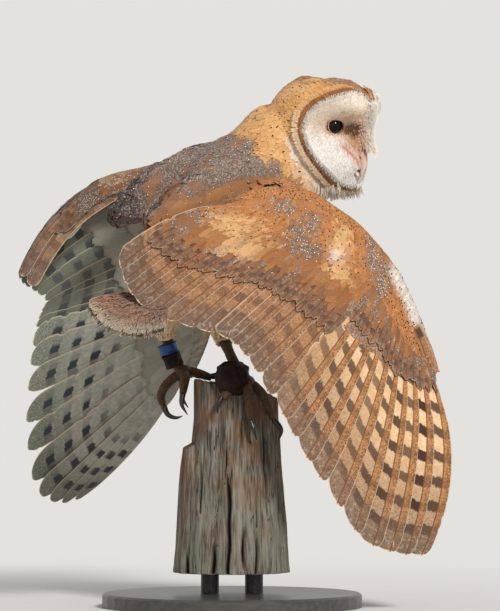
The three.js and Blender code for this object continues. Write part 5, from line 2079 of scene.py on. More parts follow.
@dataclass
class Face:
    """Eyes, lids, bill, the ruff round the disc, and the bristles over the bill."""

    ring_turns: int = 330
    bristle_count: int = 2200
    throat_count: int = 900
    sides: tuple = (("right", 1), ("left", -1))
    opening: float = math.radians(58)
    upper_droop: float = math.radians(5)
    corner_reach: float = math.radians(2)
    bulge: float = 0.035
    bulge_width: float = 0.2
    lid_profile: tuple = (
        (0.0, 0.1), (0.015, 0.3), (0.045, 0.42), (0.09, 0.3), (0.2, -0.2), (0.36, -1.0), (0.28, -1.5), (0.07, -0.5),
    )

    def eye(self, side: str, sign: int) -> None:
        """Makes one eye and its lids.

        Args:
            side: "right" or "left".
            sign: 1 for the right eye, -1 for the left.
        """
        centre = HEAD.place(sign * HEAD.eye_side, HEAD.eye_forward, HEAD.eye_height)
        aim = HEAD.turn(sign * math.sin(HEAD.eye_turn), math.cos(HEAD.eye_turn), 0.0)
        low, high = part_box(f"eye_{side}")
        radius = (high - low).z / 2
        up = unit(HEAD.up - aim * (HEAD.up @ aim))
        wide = np.cross(up, aim)
        bpy.ops.object.select_all(action="DESELECT")
        bpy.ops.mesh.primitive_uv_sphere_add(segments=64, ring_count=48, radius=radius, location=(0, 0, 0))
        ball = bpy.context.object
        ball.name = f"eye_{side}_ball"
        points = points_of(ball.data)
        out = np.arccos(np.clip(points[:, 2] / radius, -1, 1)) / np.pi
        points = points * (1 + self.bulge * bell(out, self.bulge_width))[:, None]
        points = points @ np.stack([wide, up, aim])
        move_to(ball, points + centre)
        put(ball.data, "along", "POINT", out)
        ball.data.shade_smooth()
        finish_piece(ball, Eyeball(), "eye", f"eye_{side}")

        turn = turns(ROUND)
        droop, corner = np.maximum(np.sin(turn), 0), np.abs(np.cos(turn)) ** 6
        lid = self.opening - self.upper_droop * droop + self.corner_reach * corner
        rings = []
        for opening, rise in self.lid_profile:
            angle = lid + opening
            reach = radius * (1 + self.bulge * bell(angle / np.pi, self.bulge_width)) + rise * MM
            flat = wide * np.cos(turn)[:, None] + up * np.sin(turn)[:, None]
            rings.append(centre + (flat * np.sin(angle)[:, None] + aim * np.cos(angle)[:, None]) * reach[:, None])
        lids = piece_of(f"lids_{side}", [turned(np.array(rings), np.linspace(0, 1, len(rings)))])
        finish_piece(lids, Lid(), "eye")

    def bill(self) -> None:
        """Makes the two halves of the bill."""
        across = HEAD.right
        halves = (
            ("upper", [[44, -15], [53, -20], [59, -30], [58.5, -45.5]], [5, 5, 3.8, 0.9], [5, 6, 4.6, 0.9]),
            ("lower", [[41, -34], [50, -40], [55.5, -46]], [4.5, 4, 1.8], [3, 2.6, 1.1]),
        )
        for name, stations, widths, depths in halves:
            spine = np.array([HEAD.place(0, forward, height) for forward, height in stations])
            ridge = lambda share, angle: 1 + 0.05 * np.cos(2 * angle) * (1 - share)
            size = (np.array(widths, float) * MM, np.array(depths, float) * MM)
            points, corners, shares = sweep(spine, *size, across, 36, 60, ridge)
            if name == "upper":
                side, forward, height = HEAD.local(points)
                for sign in (1, -1):
                    gap = np.hypot((forward - 56.5) / 2.0, (height + 27.0) / 1.3)
                    sunk = (np.sign(side) == sign) * bell(gap, 1.0) * 1.6
                    points -= HEAD.right * (sign * sunk * MM)[:, None]
            piece = piece_of(f"bill_{name}_horn", [(points, corners, shares)])
            finish_piece(piece, Horn("bill_horn", Tone.FLESH, Tone.HORN), "bill", f"bill_{name}")

    def rows_of_ruff(self) -> Piece:
        """Makes the stiff short feathers that stand in rows round the disc."""
        rng = np.random.default_rng(21)
        rows = (
            (0.925, 3.6, 0.5, 0.8, "inner"),
            (0.945, 3.6, 0.5, 0.75, "inner"),
            (0.963, 3.4, 0.55, 0.7, "inner"),
            (0.978, 3.0, 0.6, 0.55, "inner"),
            (0.99, 2.8, 0.6, 0.35, "band"),
            (1.008, 3.0, 0.7, 0.15, "band"),
            (1.022, 3.2, 0.8, -0.1, "band"),
            (1.038, 4.4, 1.0, -0.6, "outer"),
            (1.06, 5.4, 1.4, -1.1, "far"),
        )
        batches = []
        for share, length, width, forward, kind in rows:
            count = self.ring_turns
            angle = (np.arange(count) + rng.random(count)) / count * 2 * np.pi - np.pi
            side, height = HEAD.rim(angle)
            side, height = side * share, HEAD.middle + (height - HEAD.middle) * share
            depth = HEAD.disc(side, height) + 0.6 - 45 * max(share - 1, 0) ** 1.1
            root = HEAD.place(side, depth, height)
            way = unit(np.stack([side, height - HEAD.middle], axis=1))
            aim = HEAD.turn(way[:, 0], forward, way[:, 1])
            aim = unit(aim + rng.normal(0, 0.08, (count, 3)))
            bend = HEAD.turn(way[:, 0], forward - 0.9, way[:, 1])
            shorter = 1 - 0.5 * bell(side, 9) * (height > 0)
            reach = (length * rng.uniform(0.85, 1.15, count) * shorter * MM)[:, None, None]
            t = np.linspace(0, 1, 6)[None, :, None]
            line = root[:, None] + reach * (aim[:, None] * t + (bend - aim)[:, None] * 0.3 * t**2)
            around = HEAD.turn(-way[:, 1], 0, way[:, 0])
            normal = unit(np.cross(around[:, None], unit(np.gradient(line, axis=1))))
            outward = HEAD.turn(way[:, 0] * 0.4, 1, way[:, 1] * 0.4)
            normal = normal * np.sign((normal[:, 0] * outward).sum(axis=1))[:, None, None]
            half = width * MM * (1 - t[..., 0] ** 2.2) * np.ones((count, 1))
            low = ease(0.1, -0.5, np.sin(angle))
            dash = cloud(np.stack([angle * 6, 0 * angle, 0 * angle + share * 40], axis=1), 0.1, 3)
            dark = (dash > 0.62).astype(float)
            if kind == "inner":
                tint = blend(Tone.WHITE, Tone.BAR, 0.8 * dark * (share > 0.95))
            elif kind == "band":
                tint = blend(Tone.ORANGE, Tone.RUST, 0.6 * rng.random(count))
                tint = blend(tint, Tone.BAR, np.clip(0.35 * dark + 0.9 * low * (share > 1.01), 0, 1))
            else:
                near = kind == "outer"
                tones = (Tone.GOLD, Tone.PALE_GOLD) if near else (Tone.PALE_GOLD, Tone.GOLD)
                cream = blend(Tone.CREAM, Tone.PALE_GOLD, 0.15 if near else 0.3)
                below = ease(0.7, -0.1, np.sin(angle)) if near else ease(0.5, -0.2, np.sin(angle))
                tint = blend(blend(*tones, rng.random(count)), cream, below)
            patch = np.stack([angle / (2 * np.pi) * 0.98 + 0.5, 0 * angle + share * 5 - 4.5], axis=1)
            shape = {"line": line, "normal": normal, "half": half, "tint": tint}
            batches.append({**shape, "patch": patch, "soft": outward[:, None]})
        return Vanes(**joined(batches), dome=0.3).build("ruff", Plumage(), "golden_feathers")

    def bristles(self) -> Piece:
        """Makes the long bristly feathers between the eyes that hang over the bill."""
        rng = np.random.default_rng(22)
        count, rows = self.bristle_count, 7
        height = rng.uniform(-17, 30, count)
        side = rng.normal(0, 3.9, count)
        root = HEAD.place(side, HEAD.disc(side, height) - 1.0, height)
        low = ease(16, -14, height)
        fan = side / 7 + rng.normal(0, 0.16, count)
        aim = HEAD.turn(fan, 0.95 - 0.1 * low, 0.12 - 0.6 * low)
        hang = HEAD.turn(fan * 0.5, 0.25, -1.0)
        length = rng.uniform(3.5, 8, count) - 3.2 * bell(height - 4, 9)
        length = length + rng.uniform(0, 8.5, count) * ease(-2, -14, height)
        length = (length * (1 - 0.6 * ease(1.5, 5, side) * ease(0, -8, height)))[:, None, None] * MM
        t = np.linspace(0, 1, rows)[None, :, None]
        line = root[:, None] + length * (aim[:, None] * t + (hang - aim)[:, None] * 0.35 * t**2)
        facing = HEAD.turn(0.7 + side / 6, 0.9, 0.6)[:, None]
        half = 0.27 * MM * (1 - t[..., 0] ** 2) * np.ones((count, 1))
        tint = blend(Tone.WHITE, Tone.CREAM, 0.1 + 0.45 * rng.random(count) * low)
        tan = bell(np.abs(side) - 7, 4) * low
        tint = blend(tint, Tone.GOLD, 0.6 * tan)
        tint = np.repeat(tint[:, None], rows, axis=1)
        patch = np.stack([side / 40 + 0.5, height / 60 + 0.4], axis=1)
        vanes = Vanes(line, square_to(line, facing), half, tint, patch=patch, soft=facing)
        return vanes.build("bristles", Plumage(), "white_feathers")

    def throat(self, skin: Skin) -> Piece:
        """Makes the loose white feathers that hang below the disc.

        Args:
            skin: the skin that they grow on.

        Returns:
            The finished piece.
        """
        rng = np.random.default_rng(23)
        count, rows = self.throat_count, 8
        side, forward = rng.uniform(-20, 20, count), rng.uniform(8, 44, count)
        root, facing = skin.snap(HEAD.place(side, forward, -52.0))
        aim = unit(HEAD.turn(side / 60, 0.35, -1.0) + rng.normal(0, 0.12, (count, 3)))
        length = rng.uniform(9, 17, count)[:, None, None] * MM
        t = np.linspace(0, 1, rows)[None, :, None]
        sag = aim[:, None] * t + facing[:, None] * 0.25 * t * (1 - t)
        line = root[:, None] - facing[:, None] * ROOT_DEPTH + length * sag
        face = unit(facing + HEAD.turn(0.8, 0.3, 0.2))[:, None]
        half = 0.55 * MM * (1 - t[..., 0] ** 2) * np.ones((count, 1))
        tint = blend(Tone.WHITE, Tone.CREAM, rng.random(count))
        vanes = Vanes(line, square_to(line, face), half, tint, patch=Chart(["head"]).find(root), soft=face)
        return vanes.build("throat_tufts", Plumage(), "white_feathers")

    def build(self, skin: Skin) -> None:
        """Makes everything on the front of the head."""
        self.throat(skin)
        for side, sign in self.sides:
            self.eye(side, sign)
        self.bill()
        self.rows_of_ruff()
        self.bristles()


# ---------------------------------------------------------------- legs and what they wear


@dataclass(frozen=True)
class Scales:
    """Bare toes: small raised scales, dark in the gaps, with a few broad scutes on top."""

    name: str = "scaly_toes"
    size: float = 0.0016

    def make(self) -> Material:
        """Builds the material."""
        g = Graph(self.name, roughness=0.55, specular_ior_level=0.4)
        here = g.places()
        net = {"Vector": here, "Scale": 1 / self.size}
        cells = g.node("TexVoronoi", net, feature="DISTANCE_TO_EDGE").outputs[0]
        hue = g.node("TexVoronoi", net).outputs["Color"]
        gap = g.step(cells, 0.14, 0.03)
        grime = g.grain(here, 180.0, 3.0, 0.6)
        skin = g.mix(g.parts(hue)[0], Tone.TOE, Tone.TOE_PALE)
        skin = g.mix(g.step(grime, 0.45, 0.7, 0.0, 0.7), skin, Tone.TOE_DARK)
        return g.paint(g.mix(g.times(gap, 0.8), skin, Tone.TOE_DARK), g.step(cells, 0.0, 0.25), 0.0006, 0.9)


@dataclass(frozen=True)
class Hide:
    """Worn, creased dark leather, a little paler where it rubs."""

    name: str = "worn_leather"

    def make(self) -> Material:
        """Builds the material."""
        g = Graph(self.name, roughness=0.6, specular_ior_level=0.15)
        here = g.places()
        pores = g.node("TexVoronoi", {"Vector": here, "Scale": 1100.0}).outputs["Distance"]
        creases = g.grain(here, 160.0, 4.0, 0.65)
        colour = g.mix(g.step(creases, 0.45, 0.75), Tone.LEATHER, Tone.LEATHER_WORN)
        colour = g.mix(g.step(pores, 0.1, 0.4, 0.35, 0.0), colour, Tone.BLACK)
        return g.paint(colour, g.plus(creases, g.times(pores, 0.4)), 0.0008, 0.8)


@dataclass(frozen=True)
class Anodised:
    """A plain blue leg band, scuffed at its edges."""

    name: str = "blue_band"

    def make(self) -> Material:
        """Builds the material."""
        g = Graph(self.name, roughness=0.35, metallic=0.3)
        scuffs = g.grain(g.places((1, 1, 4)), 420.0, 4.0, 0.7)
        return g.paint(g.mix(g.step(scuffs, 0.55, 0.75, 0.0, 0.55), Tone.BAND, Tone.LEATHER), scuffs, 0.0002, 0.4)


@dataclass
class Leg:
    """One foot with its shank, toes and claws, and the rings round the shank.

    Attributes:
        side: "right" or "left".
        shank: its spine, in millimetres.
        palm: the middle of the foot.
        toes: for each toe its path and its claw's path.
    """

    side: str
    shank: list
    palm: list
    toes: dict
    voxel: float = 0.0007

    def scutes(self, share: Array, angle: Array) -> Array:
        """Rings and swollen pads along a toe.

        Args:
            share: places along the toe, from 0 to 1.
            angle: angles round it.

        Returns:
            How thick it is there, as a share of the whole.
        """
        pads = 0.1 * np.abs(np.sin(share * np.pi * 3.5)) * (np.sin(angle) < 0)
        rings = 0.045 * np.abs(np.sin(share * np.pi * 13)) ** 0.6
        return 0.95 + rings + pads

    def build(self) -> None:
        """Makes the foot, the claws and the shank."""
        tilt = np.array([0, 0.6, 0.8])
        parts = []
        for toe, (path, claw) in self.toes.items():
            path, claw = np.array(path, float) * MM, np.array(claw, float) * MM
            girth = 5 * MM * (1 - 0.07 * np.arange(len(path)))
            girth[-1] *= 0.8
            parts.append(sweep(path, girth, girth, tilt, 28, 64, self.scutes))
            taper = (3 * (1 - np.linspace(0, 1, len(claw))) ** 0.7 + 0.3) * MM
            swept = sweep(claw, taper * 0.92, taper, [0.2, 1, 0.1], 20, 32)
            horn = piece_of(f"claw_{self.side}_{toe}_horn", [swept])
            finish = Horn("claw_horn", Tone.CLAW, Tone.BLACK, 0.3)
            finish_piece(horn, finish, "claw", f"claw_{self.side}_{toe}")
        x, y, z = self.palm
        ball = np.array([[x, y - 9, z + 2], [x, y, z], [x, y + 9, z - 2]], float) * MM
        parts.append(sweep(ball, np.array([5, 9, 5]) * MM, np.array([4, 7, 4]) * MM, [1, 0, 0], 28, 24))
        foot = piece_of(f"foot_{self.side}_toes", parts)
        modify(foot, "REMESH", mode="VOXEL", voxel_size=self.voxel)
        modify(foot, "SMOOTH", factor=0.4, iterations=2)
        foot.data.shade_smooth()
        finish_piece(foot, Scales(), "scaly_skin", f"foot_{self.side}")
        spine = np.array(self.shank, float) * MM
        size = np.array([5.8, 5, 5.2, 6]) * MM
        bare = piece_of(f"shank_{self.side}_skin", [sweep(spine, size, size, [1, 0, 0], 32, 48, self.scutes)])
        finish_piece(bare, Scales(), "scaly_skin", f"shank_{self.side}")


@dataclass
class LegRing:
    """A ring round a leg: a turned wall with soft creases.

    Attributes:
        node: the node that it stands for.
        start: the lower end of its axis, in millimetres.
        end: the upper end.
        profile: radius and share along the axis, round the wall's section.
        crease: how uneven its outside is, in millimetres.
        finish: its finish.
        slot: its material slot.
    """

    node: str
    start: tuple
    end: tuple
    profile: tuple
    crease: float
    finish: object
    slot: str

    def build(self) -> Piece:
        """Makes the ring."""
        start, end = np.array(self.start, float) * MM, np.array(self.end, float) * MM
        axis = unit(end - start)
        wide = unit(np.cross(axis, [0.3, 1.0, 0.1]))
        deep = np.cross(axis, wide)
        closed = np.array([*self.profile, self.profile[0]], float)
        samples = np.linspace(0, 1, 8 * len(self.profile) + 1)[:-1]
        steps = np.linspace(0, 1, len(closed))
        radius, share = np.interp(samples, steps, closed[:, 0]), np.interp(samples, steps, closed[:, 1])
        turn = turns(ROUND)
        flat = wide * np.cos(turn)[:, None] + deep * np.sin(turn)[:, None]
        along = axis * (share * np.linalg.norm(end - start))[:, None, None]
        rings = start + along + flat * (radius * MM)[:, None, None]
        uneven = (cloud(rings, 0.006, 4) - 0.5) * 2 * self.crease * MM * ease(7.4, 9, radius)[:, None]
        rings = rings + flat[None] * uneven[..., None]
        piece = piece_of(f"{self.node}_ring", [turned(rings, samples)])
        return finish_piece(piece, self.finish, self.slot, self.node)


LEGS = (
    Leg(
        "right",
        [[-8, -24, 268], [-2, -32, 254], [4, -38, 242], [9, -42, 232]],
        [14, -44, 226],
        {
            "middle": (
                [[13, -44, 226], [16, -55, 216], [17, -56, 201], [18, -55, 187]],
                [[18, -55, 188], [22, -58, 178], [25, -54, 168]],
            ),
            "outer": (
                [[20, -42, 224], [31, -46, 213], [38, -42, 198], [41, -37, 188]],
                [[41, -37, 189], [49, -37, 178], [46, -33, 166]],
            ),
            "inner": (
                [[8, -44, 224], [-3, -52, 216], [-10, -54, 210]],
                [[-10, -54, 211], [-14, -56, 203], [-14, -52, 194]],
            ),
            "rear": (
                [[13, -38, 226], [14, -24, 227], [14, -12, 223]],
                [[14, -13, 224], [14, -5, 225], [13, 2, 219]],
            ),
        },
    ),
    Leg(
        "left",
        [[-66, 7, 272], [-62, 9, 258], [-57, 11, 246], [-52, 12, 238]],
        [-48, 12, 235],
        {
            "middle": (
                [[-48, 8, 235], [-47, -6, 227], [-49, -13, 213]],
                [[-49, -13, 214], [-50, -16, 203], [-44, -15, 192]],
            ),
            "outer": (
                [[-48, 18, 235], [-49, 32, 230], [-50, 38, 218]],
                [[-50, 38, 219], [-50, 42, 208], [-44, 40, 198]],
            ),
            "inner": (
                [[-44, 12, 236], [-32, 8, 233], [-20, 6, 229]],
                [[-21, 6, 230], [-13, 5, 232], [-7, 5, 226]],
            ),
            "rear": (
                [[-52, 13, 233], [-65, 12, 223], [-71, 11, 211], [-69, 11, 201]],
                [[-69, 11, 202], [-64, 11, 192], [-56, 11, 189], [-49, 11, 191]],
            ),
        },
    ),
)
CUFF = ((7, 0), (12, 0.08), (18, 0.45), (15.5, 0.85), (8, 1))
WALL = ((7, 0), (9.5, 0), (9, 0.5), (10, 1), (7, 1))
BAND_WALL = ((7.4, 0), (10.5, 0), (9.4, 0.3), (9.4, 0.7), (10.5, 1), (7.4, 1))
LEG_RINGS = (
    LegRing("anklet_right", (1, -46, 212), (1, -44, 246), CUFF, 1.2, Hide(), "leather"),
    LegRing("anklet_left", (-57, 11, 241), (-62, 9, 253), WALL, 0.8, Hide(), "leather"),
    LegRing("band_left", (-62, 9, 254), (-65, 8, 263), BAND_WALL, 0.15, Anodised(), "band"),
)


# ---------------------------------------------------------------- post, stand and studio


@dataclass(frozen=True)
class Timber:
    """Weathered post: silvery ridges, brown streaks, dark cracks with painted shade in their hollows, and a little
    green low down.
    """

    name: str = "weathered_wood"

    def make(self) -> Material:
        """Builds the material."""
        g = Graph(self.name, roughness=0.92, specular_ior_level=0.15)
        upright = g.places((1, 1, 0.06))
        fibres = g.grain(upright, 620.0, 4.0, 0.65)
        bands = g.grain(g.places((1, 1, 0.12)), 75.0, 3.0, 0.6)
        blotch = g.grain(g.places(), 28.0, 3.0, 0.6)
        height = g.parts(g.places())[2]
        colour = g.mix(g.step(fibres, 0.36, 0.62), Tone.WOOD_DEEP, Tone.WOOD)
        colour = g.mix(g.step(bands, 0.55, 0.72, 0.0, 0.6), colour, Tone.WOOD_PALE)
        brown = g.times(g.step(blotch, 0.42, 0.62), g.step(height, 0.05, 0.2, 0.25, 1.0))
        colour = g.mix(g.times(brown, 0.65), colour, Tone.WOOD_BROWN)
        green = g.times(g.step(blotch, 0.6, 0.4), g.step(height, 0.16, 0.05, 0.0, 0.5))
        colour = g.mix(green, colour, Tone.LICHEN)
        crack = g.attribute("crack").outputs["Fac"]
        split = g.grain(g.places((1, 1, 0.03)), 190.0, 2.0, 0.5)
        line = g.step(g.math("ABSOLUTE", g.minus(split, 0.5)), 0.014, 0.005)
        line = g.times(line, g.step(bands, 0.62, 0.5, 0.0, 0.9))
        colour = g.mix(line, colour, Tone.WOOD_DARK)
        # painted shade: the crack hollows cut into the post are darkened
        colour = g.mix(g.step(crack, 0.15, 0.6), colour, Tone.WOOD_DARK)
        return g.paint(colour, g.plus(fibres, g.times(bands, 0.5)), 0.0012, 0.9)


@dataclass(frozen=True)
class Stain:
    """Turned board under a satin dark stain, with its grain just showing."""

    name: str = "stained_board"

    def make(self) -> Material:
        """Builds the material."""
        g = Graph(self.name, roughness=0.4, coat_weight=0.2, coat_roughness=0.25)
        grain = g.grain(g.places((1, 12, 12)), 22.0, 4.0, 0.6)
        pores = g.grain(g.places((1, 30, 30)), 60.0, 2.0, 0.5)
        colour = g.mix(g.step(grain, 0.35, 0.7), Tone.BOARD, Tone.BOARD_PALE)
        return g.paint(g.mix(g.step(pores, 0.6, 0.75, 0.0, 0.5), colour, Tone.BLACK), pores, 0.0003, 0.3)


@dataclass(frozen=True)
class Enamel:
    """Matt dark enamel on the stand's rods, faintly uneven."""

    name: str = "dark_enamel"

    def make(self) -> Material:
        """Builds the material."""
        g = Graph(self.name, roughness=0.45, metallic=0.4)
        skin = g.grain(g.places(), 500.0, 3.0, 0.6)
        return g.paint(g.mix(g.step(skin, 0.4, 0.7), Tone.BOARD, Tone.BOARD_PALE), skin, 0.0002, 0.3)


@dataclass
class Post:
    """The cut length of weathered post, split by cracks along its grain."""

    voxel: float = 0.0013
    crack_depth: float = 0.0085
    radius: float = 0.053
    more_splits: int = 16
    fibre_size: float = 0.0042
    fibre_height: float = 0.0024
    end_depth: float = 0.006
    splits: tuple = (
        (37, 200, 84, 1.7), (-4, 150, 10, 1.7), (-21, 80, 10, 1.9), (-44, 70, 10, 2.2), (-8, 180, 120, 1.5),
        (11, 200, 150, 1.5), (13, 96, 30, 1.6), (50, 130, 30, 1.8), (25, 88, 10, 1.6), (-33, 150, 84, 1.6),
    )

    def cracks(self, points: Array) -> Array:
        """How open the wood is at points: 0 sound, 1 in the middle of a crack.

        Args:
            points: points of the wood.

        Returns:
            One number for each point.
        """
        rng = np.random.default_rng(41)
        angle, z = np.arctan2(points[:, 1] + 0.002, points[:, 0]), points[:, 2]
        known = [(-math.acos(x * MM / self.radius), top, low, wide) for x, top, low, wide in self.splits]
        ranges = ((0.1, 3.0), (90, 190), (25, 80), (1.1, 2.4))
        others = [tuple(rng.uniform(*span) for span in ranges) for _ in range(self.more_splits)]
        open_wood = np.zeros(len(points))
        for number, (where, top, low, wide) in enumerate(known + others):
            sway = 0.0011 * np.sin(z / 0.024 + number) + 0.0005 * np.sin(z / 0.007 + 2 * number)
            off = (angle - where + np.pi) % (2 * np.pi) - np.pi
            gap = bell(off * self.radius + sway, wide * MM)
            ends = ease(top * MM, (top - 40) * MM, z) * ease(low * MM, (low + 30) * MM, z)
            open_wood = np.maximum(open_wood, gap * ends)
        return open_wood

    def build(self) -> Piece:
        """Makes the post."""
        piece = frame_copy("post_wood", ["perch_post"])
        modify(piece, "REMESH", mode="VOXEL", voxel_size=self.voxel)
        modify(piece, "TRIANGULATE")
        points, normals = points_of(piece.data), points_of(piece.data, "vertex_normals", "vector")
        open_wood = self.cracks(points)
        level = ease(0.6, 0.2, np.abs(normals[:, 2]))
        inward = normals * np.array([1, 1, 0])
        inward = np.where(level[:, None] > 0, unit(inward + 1e-9), 0)
        fibres = cloud(points * np.array([1, 1, 0.05]), self.fibre_size, 6) - 0.5
        move = -inward * (open_wood * self.crack_depth * level)[:, None]
        move += inward * (fibres * self.fibre_height * level)[:, None]
        top = ease(0.15, 0.2, points[:, 2]) * (1 - level)
        move[:, 2] -= top * (self.end_depth * open_wood + self.fibre_height * fibres)
        move_to(piece, points + move)
        put(piece.data, "crack", "POINT", open_wood * np.maximum(level, top))
        piece.data.update()
        piece.data.shade_smooth()
        return finish_piece(piece, Timber(), "wood", "perch_post")


@dataclass
class Studio:
    """Camera, pale floor and soft light."""

    distance: float = 5.0
    middle: tuple = (0.018, 0.3015)
    view_height: float = 0.611
    film: float = 36.0
    radius: float = 4.0
    sun_energy: float = 2.6
    sun_angle: float = math.radians(12)
    sun_from: tuple = (0.34, -0.76, 0.55)
    world_strength: float = 0.55

    def camera(self) -> None:
        """Places the camera level with the middle of the view."""
        lens = bpy.data.cameras.new("camera")
        lens.sensor_fit, lens.sensor_height, lens.clip_end = "VERTICAL", self.film, 100.0
        lens.lens = self.film * self.distance / self.view_height
        viewer = placed("camera", lens)
        viewer.location = (self.middle[0], -self.distance, self.middle[1])
        viewer.rotation_euler = (math.pi / 2, 0, 0)
        bpy.context.scene.camera = viewer

    def lights(self) -> None:
        """Sets a broad soft sun from the upper right and an even pale world."""
        sun = bpy.data.lights.new("soft_sun", "SUN")
        sun.energy, sun.angle = self.sun_energy, self.sun_angle
        placed("soft_sun", sun).rotation_euler = Vector(self.sun_from).to_track_quat("Z", "Y").to_euler()
        world = bpy.data.worlds.new("studio")
        world.use_nodes = True
        world.node_tree.nodes.clear()
        g = Nodes(world.node_tree)
        shown = g.node("Background", {"Color": Tone.FLOOR})
        even = g.node("Background", {"Strength": self.world_strength})
        rays = g.node("LightPath").outputs
        seen = g.math("ADD", rays["Is Camera Ray"], rays["Is Glossy Ray"], clamp=True)
        mixed = g.node("MixShader", {0: seen, 1: even.outputs[0], 2: shown.outputs[0]})
        g.node("OutputWorld", {0: mixed.outputs[0]})
        bpy.context.scene.world = world

    def floor(self) -> None:
        """Lays a pale floor that fades into the background."""
        bpy.ops.object.select_all(action="DESELECT")
        bpy.ops.mesh.primitive_circle_add(vertices=96, radius=self.radius, fill_type="NGON", location=(0, 0, 0))
        plane = bpy.context.object
        plane.name = "floor"
        g = Graph("floor_paper", roughness=0.9, specular_ior_level=0.1)
        tooth = g.grain(g.places(), 40.0, 3.0, 0.6)
        g.paint(g.mix(g.step(tooth, 0.3, 0.7, 0.0, 0.12), Tone.FLOOR, Tone.WHITE))
        away = g.node("VectorMath", {0: g.places()}, operation="LENGTH").outputs["Value"]
        rays = g.node("LightPath")
        fade = g.times(g.step(away, 0.25, 1.1), rays.outputs["Is Camera Ray"])
        glow = g.node("Emission", {"Color": Tone.FLOOR})
        mixed = g.node("MixShader", {0: fade, 1: g.shader.outputs[0], 2: glow.outputs[0]})
        g.feed(g.tree.nodes["Material Output"].inputs["Surface"], mixed.outputs[0])
        plane.data.materials.append(g.material)

    def build(self) -> None:
        """Sets up the studio."""
        bpy.context.scene.view_settings.view_transform = "Standard"
        self.camera()
        self.lights()
        self.floor()


# ---------------------------------------------------------------- the whole owl


SPINE = np.array(
    [[-86, -52, 305], [-62, -30, 324], [-28, 2, 358], [8, 32, 396], [34, 44, 424], [59, 48, 446], [84, 47, 466]],
    float,
)


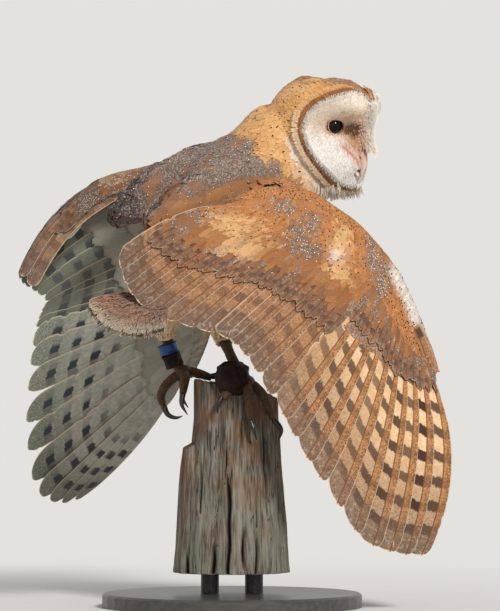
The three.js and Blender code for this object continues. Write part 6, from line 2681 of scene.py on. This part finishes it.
@dataclass
class Plumes:
    """All the coats of the head, the body and the legs."""

    skin: Skin

    def down_the_body(self, points: Array, normals: Array) -> Array:
        """From the head towards the tail.

        Args:
            points: the roots.
            normals: the way that the skin faces there; not used.

        Returns:
            One direction for each root.
        """
        share = np.linspace(0, 1, 40)
        spine = route(SPINE * MM, share)
        along = -unit(np.gradient(spine, axis=0))
        index = np.linalg.norm(points[:, None] - spine[None], axis=2).argmin(axis=1)
        return along[index]

    def back_over_head(self, points: Array, normals: Array) -> Array:
        """From the disc back over the head, and down at its sides."""
        return HEAD.turn(0.0 * points[:, 0], -1.0, -0.35)

    def out_of_the_face(self, points: Array, normals: Array) -> Array:
        """Out from each eye, and down beside the bill.

        Args:
            points: the roots.
            normals: the way that the skin faces there; not used.

        Returns:
            One direction for each root.
        """
        side, _, height = HEAD.local(points)
        sign = np.where(side < 0, -1, 1)
        across, rise = side - sign * HEAD.eye_side, height - HEAD.eye_height
        inner = ease(12, 4, np.abs(side))
        return HEAD.turn(across * (1 - inner) + sign * 2.0, 3.0 * inner, rise * (1 - 0.6 * inner) - 9.0 * inner)

    def down_the_leg(self, points: Array, normals: Array) -> Array:
        """Down the thigh and a little back."""
        return np.tile([-0.12, -0.05, -1.0], (len(points), 1))

    def along_the_shoulder(self, points: Array, normals: Array) -> Array:
        """Back along the feathers over the shoulder."""
        return np.tile(unit(np.array([-0.86, -0.3, -0.32])), (len(points), 1))

    def build(self) -> None:
        """Grows every coat."""
        skin, owner = self.skin, self.skin.owner
        reach = np.where(np.char.endswith(owner, "upper_arm"), 0.011, 0.007)
        open_air = ~(WING_RIGHT.hides(skin.middles, reach) | WING_LEFT.hides(skin.middles, reach))
        a, b, c = (skin.points[skin.corners[:, k]] for k in range(3))
        ahead = unit(np.cross(b - a, c - a)) @ HEAD.front > 0.12
        side, _, height = HEAD.local(skin.middles)
        face = HEAD.on_face(skin.middles) & (ahead | (HEAD.outness(side, height) < 0.8))
        eyes = np.hypot(np.abs(side) - HEAD.eye_side, height - HEAD.eye_height) < 7.4
        bare = face & (eyes | ((np.abs(side) < 6.5) & (height < -16) & (height > -46)))
        head_chart, body_chart = Chart(["head"]), Chart(["neck", "trunk"])
        wings = np.char.endswith(owner, "upper_arm")
        shoulders, thighs = np.char.startswith(owner, "scapulars"), np.char.startswith(owner, "thigh")
        scapular_chart = Chart(["scapulars_right", "scapulars_left"])
        thigh_chart = Chart(["thigh_right", "thigh_left"])
        white, gold, grey = "white_feathers", "golden_feathers", "grey_feathers"
        coats = (
            ("face", white, (0.00115, 0.0078, 0.00062, 0.0008), self.out_of_the_face, LIVERY.face,
             {"rows": 4, "pointed": True}, face & ~bare, head_chart),
            ("head", gold, (0.00205, 0.0098, 0.0016, 0.0016), self.back_over_head, LIVERY.head,
             {}, (owner == "head") & ~face, head_chart),
            ("neck", gold, (0.0025, 0.014, 0.0023, 0.0024), self.down_the_body, LIVERY.body,
             {"rows": 6, "swirl": 0.1}, owner == "neck", body_chart),
            ("trunk", gold, (0.0033, 0.018, 0.003, 0.0028), self.down_the_body, LIVERY.body,
             {"rows": 7, "swirl": 0.1}, (owner == "trunk") | wings, body_chart),
            ("scapular", grey, (0.004, 0.02, 0.0038, 0.0022), self.along_the_shoulder, LIVERY.shoulder,
             {"rows": 8, "columns": 5, "swirl": 0.08}, shoulders, scapular_chart),
            ("thigh", white, (0.0021, 0.012, 0.0011, 0.0038), self.down_the_leg, LIVERY.leg,
             {"pointed": True, "swirl": 0.2}, thighs, thigh_chart),
        )
        for number, (part, slot, sizes, lie, colours, more, chosen, chart) in enumerate(coats):
            coat = Coat(f"{part}_feathers", slot, *sizes, lie, colours, seed=30 + number, **more)
            coat.build(skin, chosen & (open_air | (owner == "head")), chart)


def main() -> None:
    """Builds the owl, what carries it, and the studio."""
    logging.basicConfig(level=logging.INFO, format="%(name)s: %(message)s")
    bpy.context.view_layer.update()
    Studio().build()
    skin = Skin()
    skin.build()
    WING_RIGHT.build()
    WING_LEFT.build()
    Tail().build()
    Plumes(skin).build()
    Face().build(skin)
    for leg in LEGS:
        leg.build()
    for ring in LEG_RINGS:
        ring.build()
    Post().build()
    for node, finish in (("stand_base", Stain()), ("stand_rod_left", Enamel()), ("stand_rod_right", Enamel())):
        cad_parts[node].material_slots[0].material = dressed(finish)


if __name__ == "__main__":
    main()
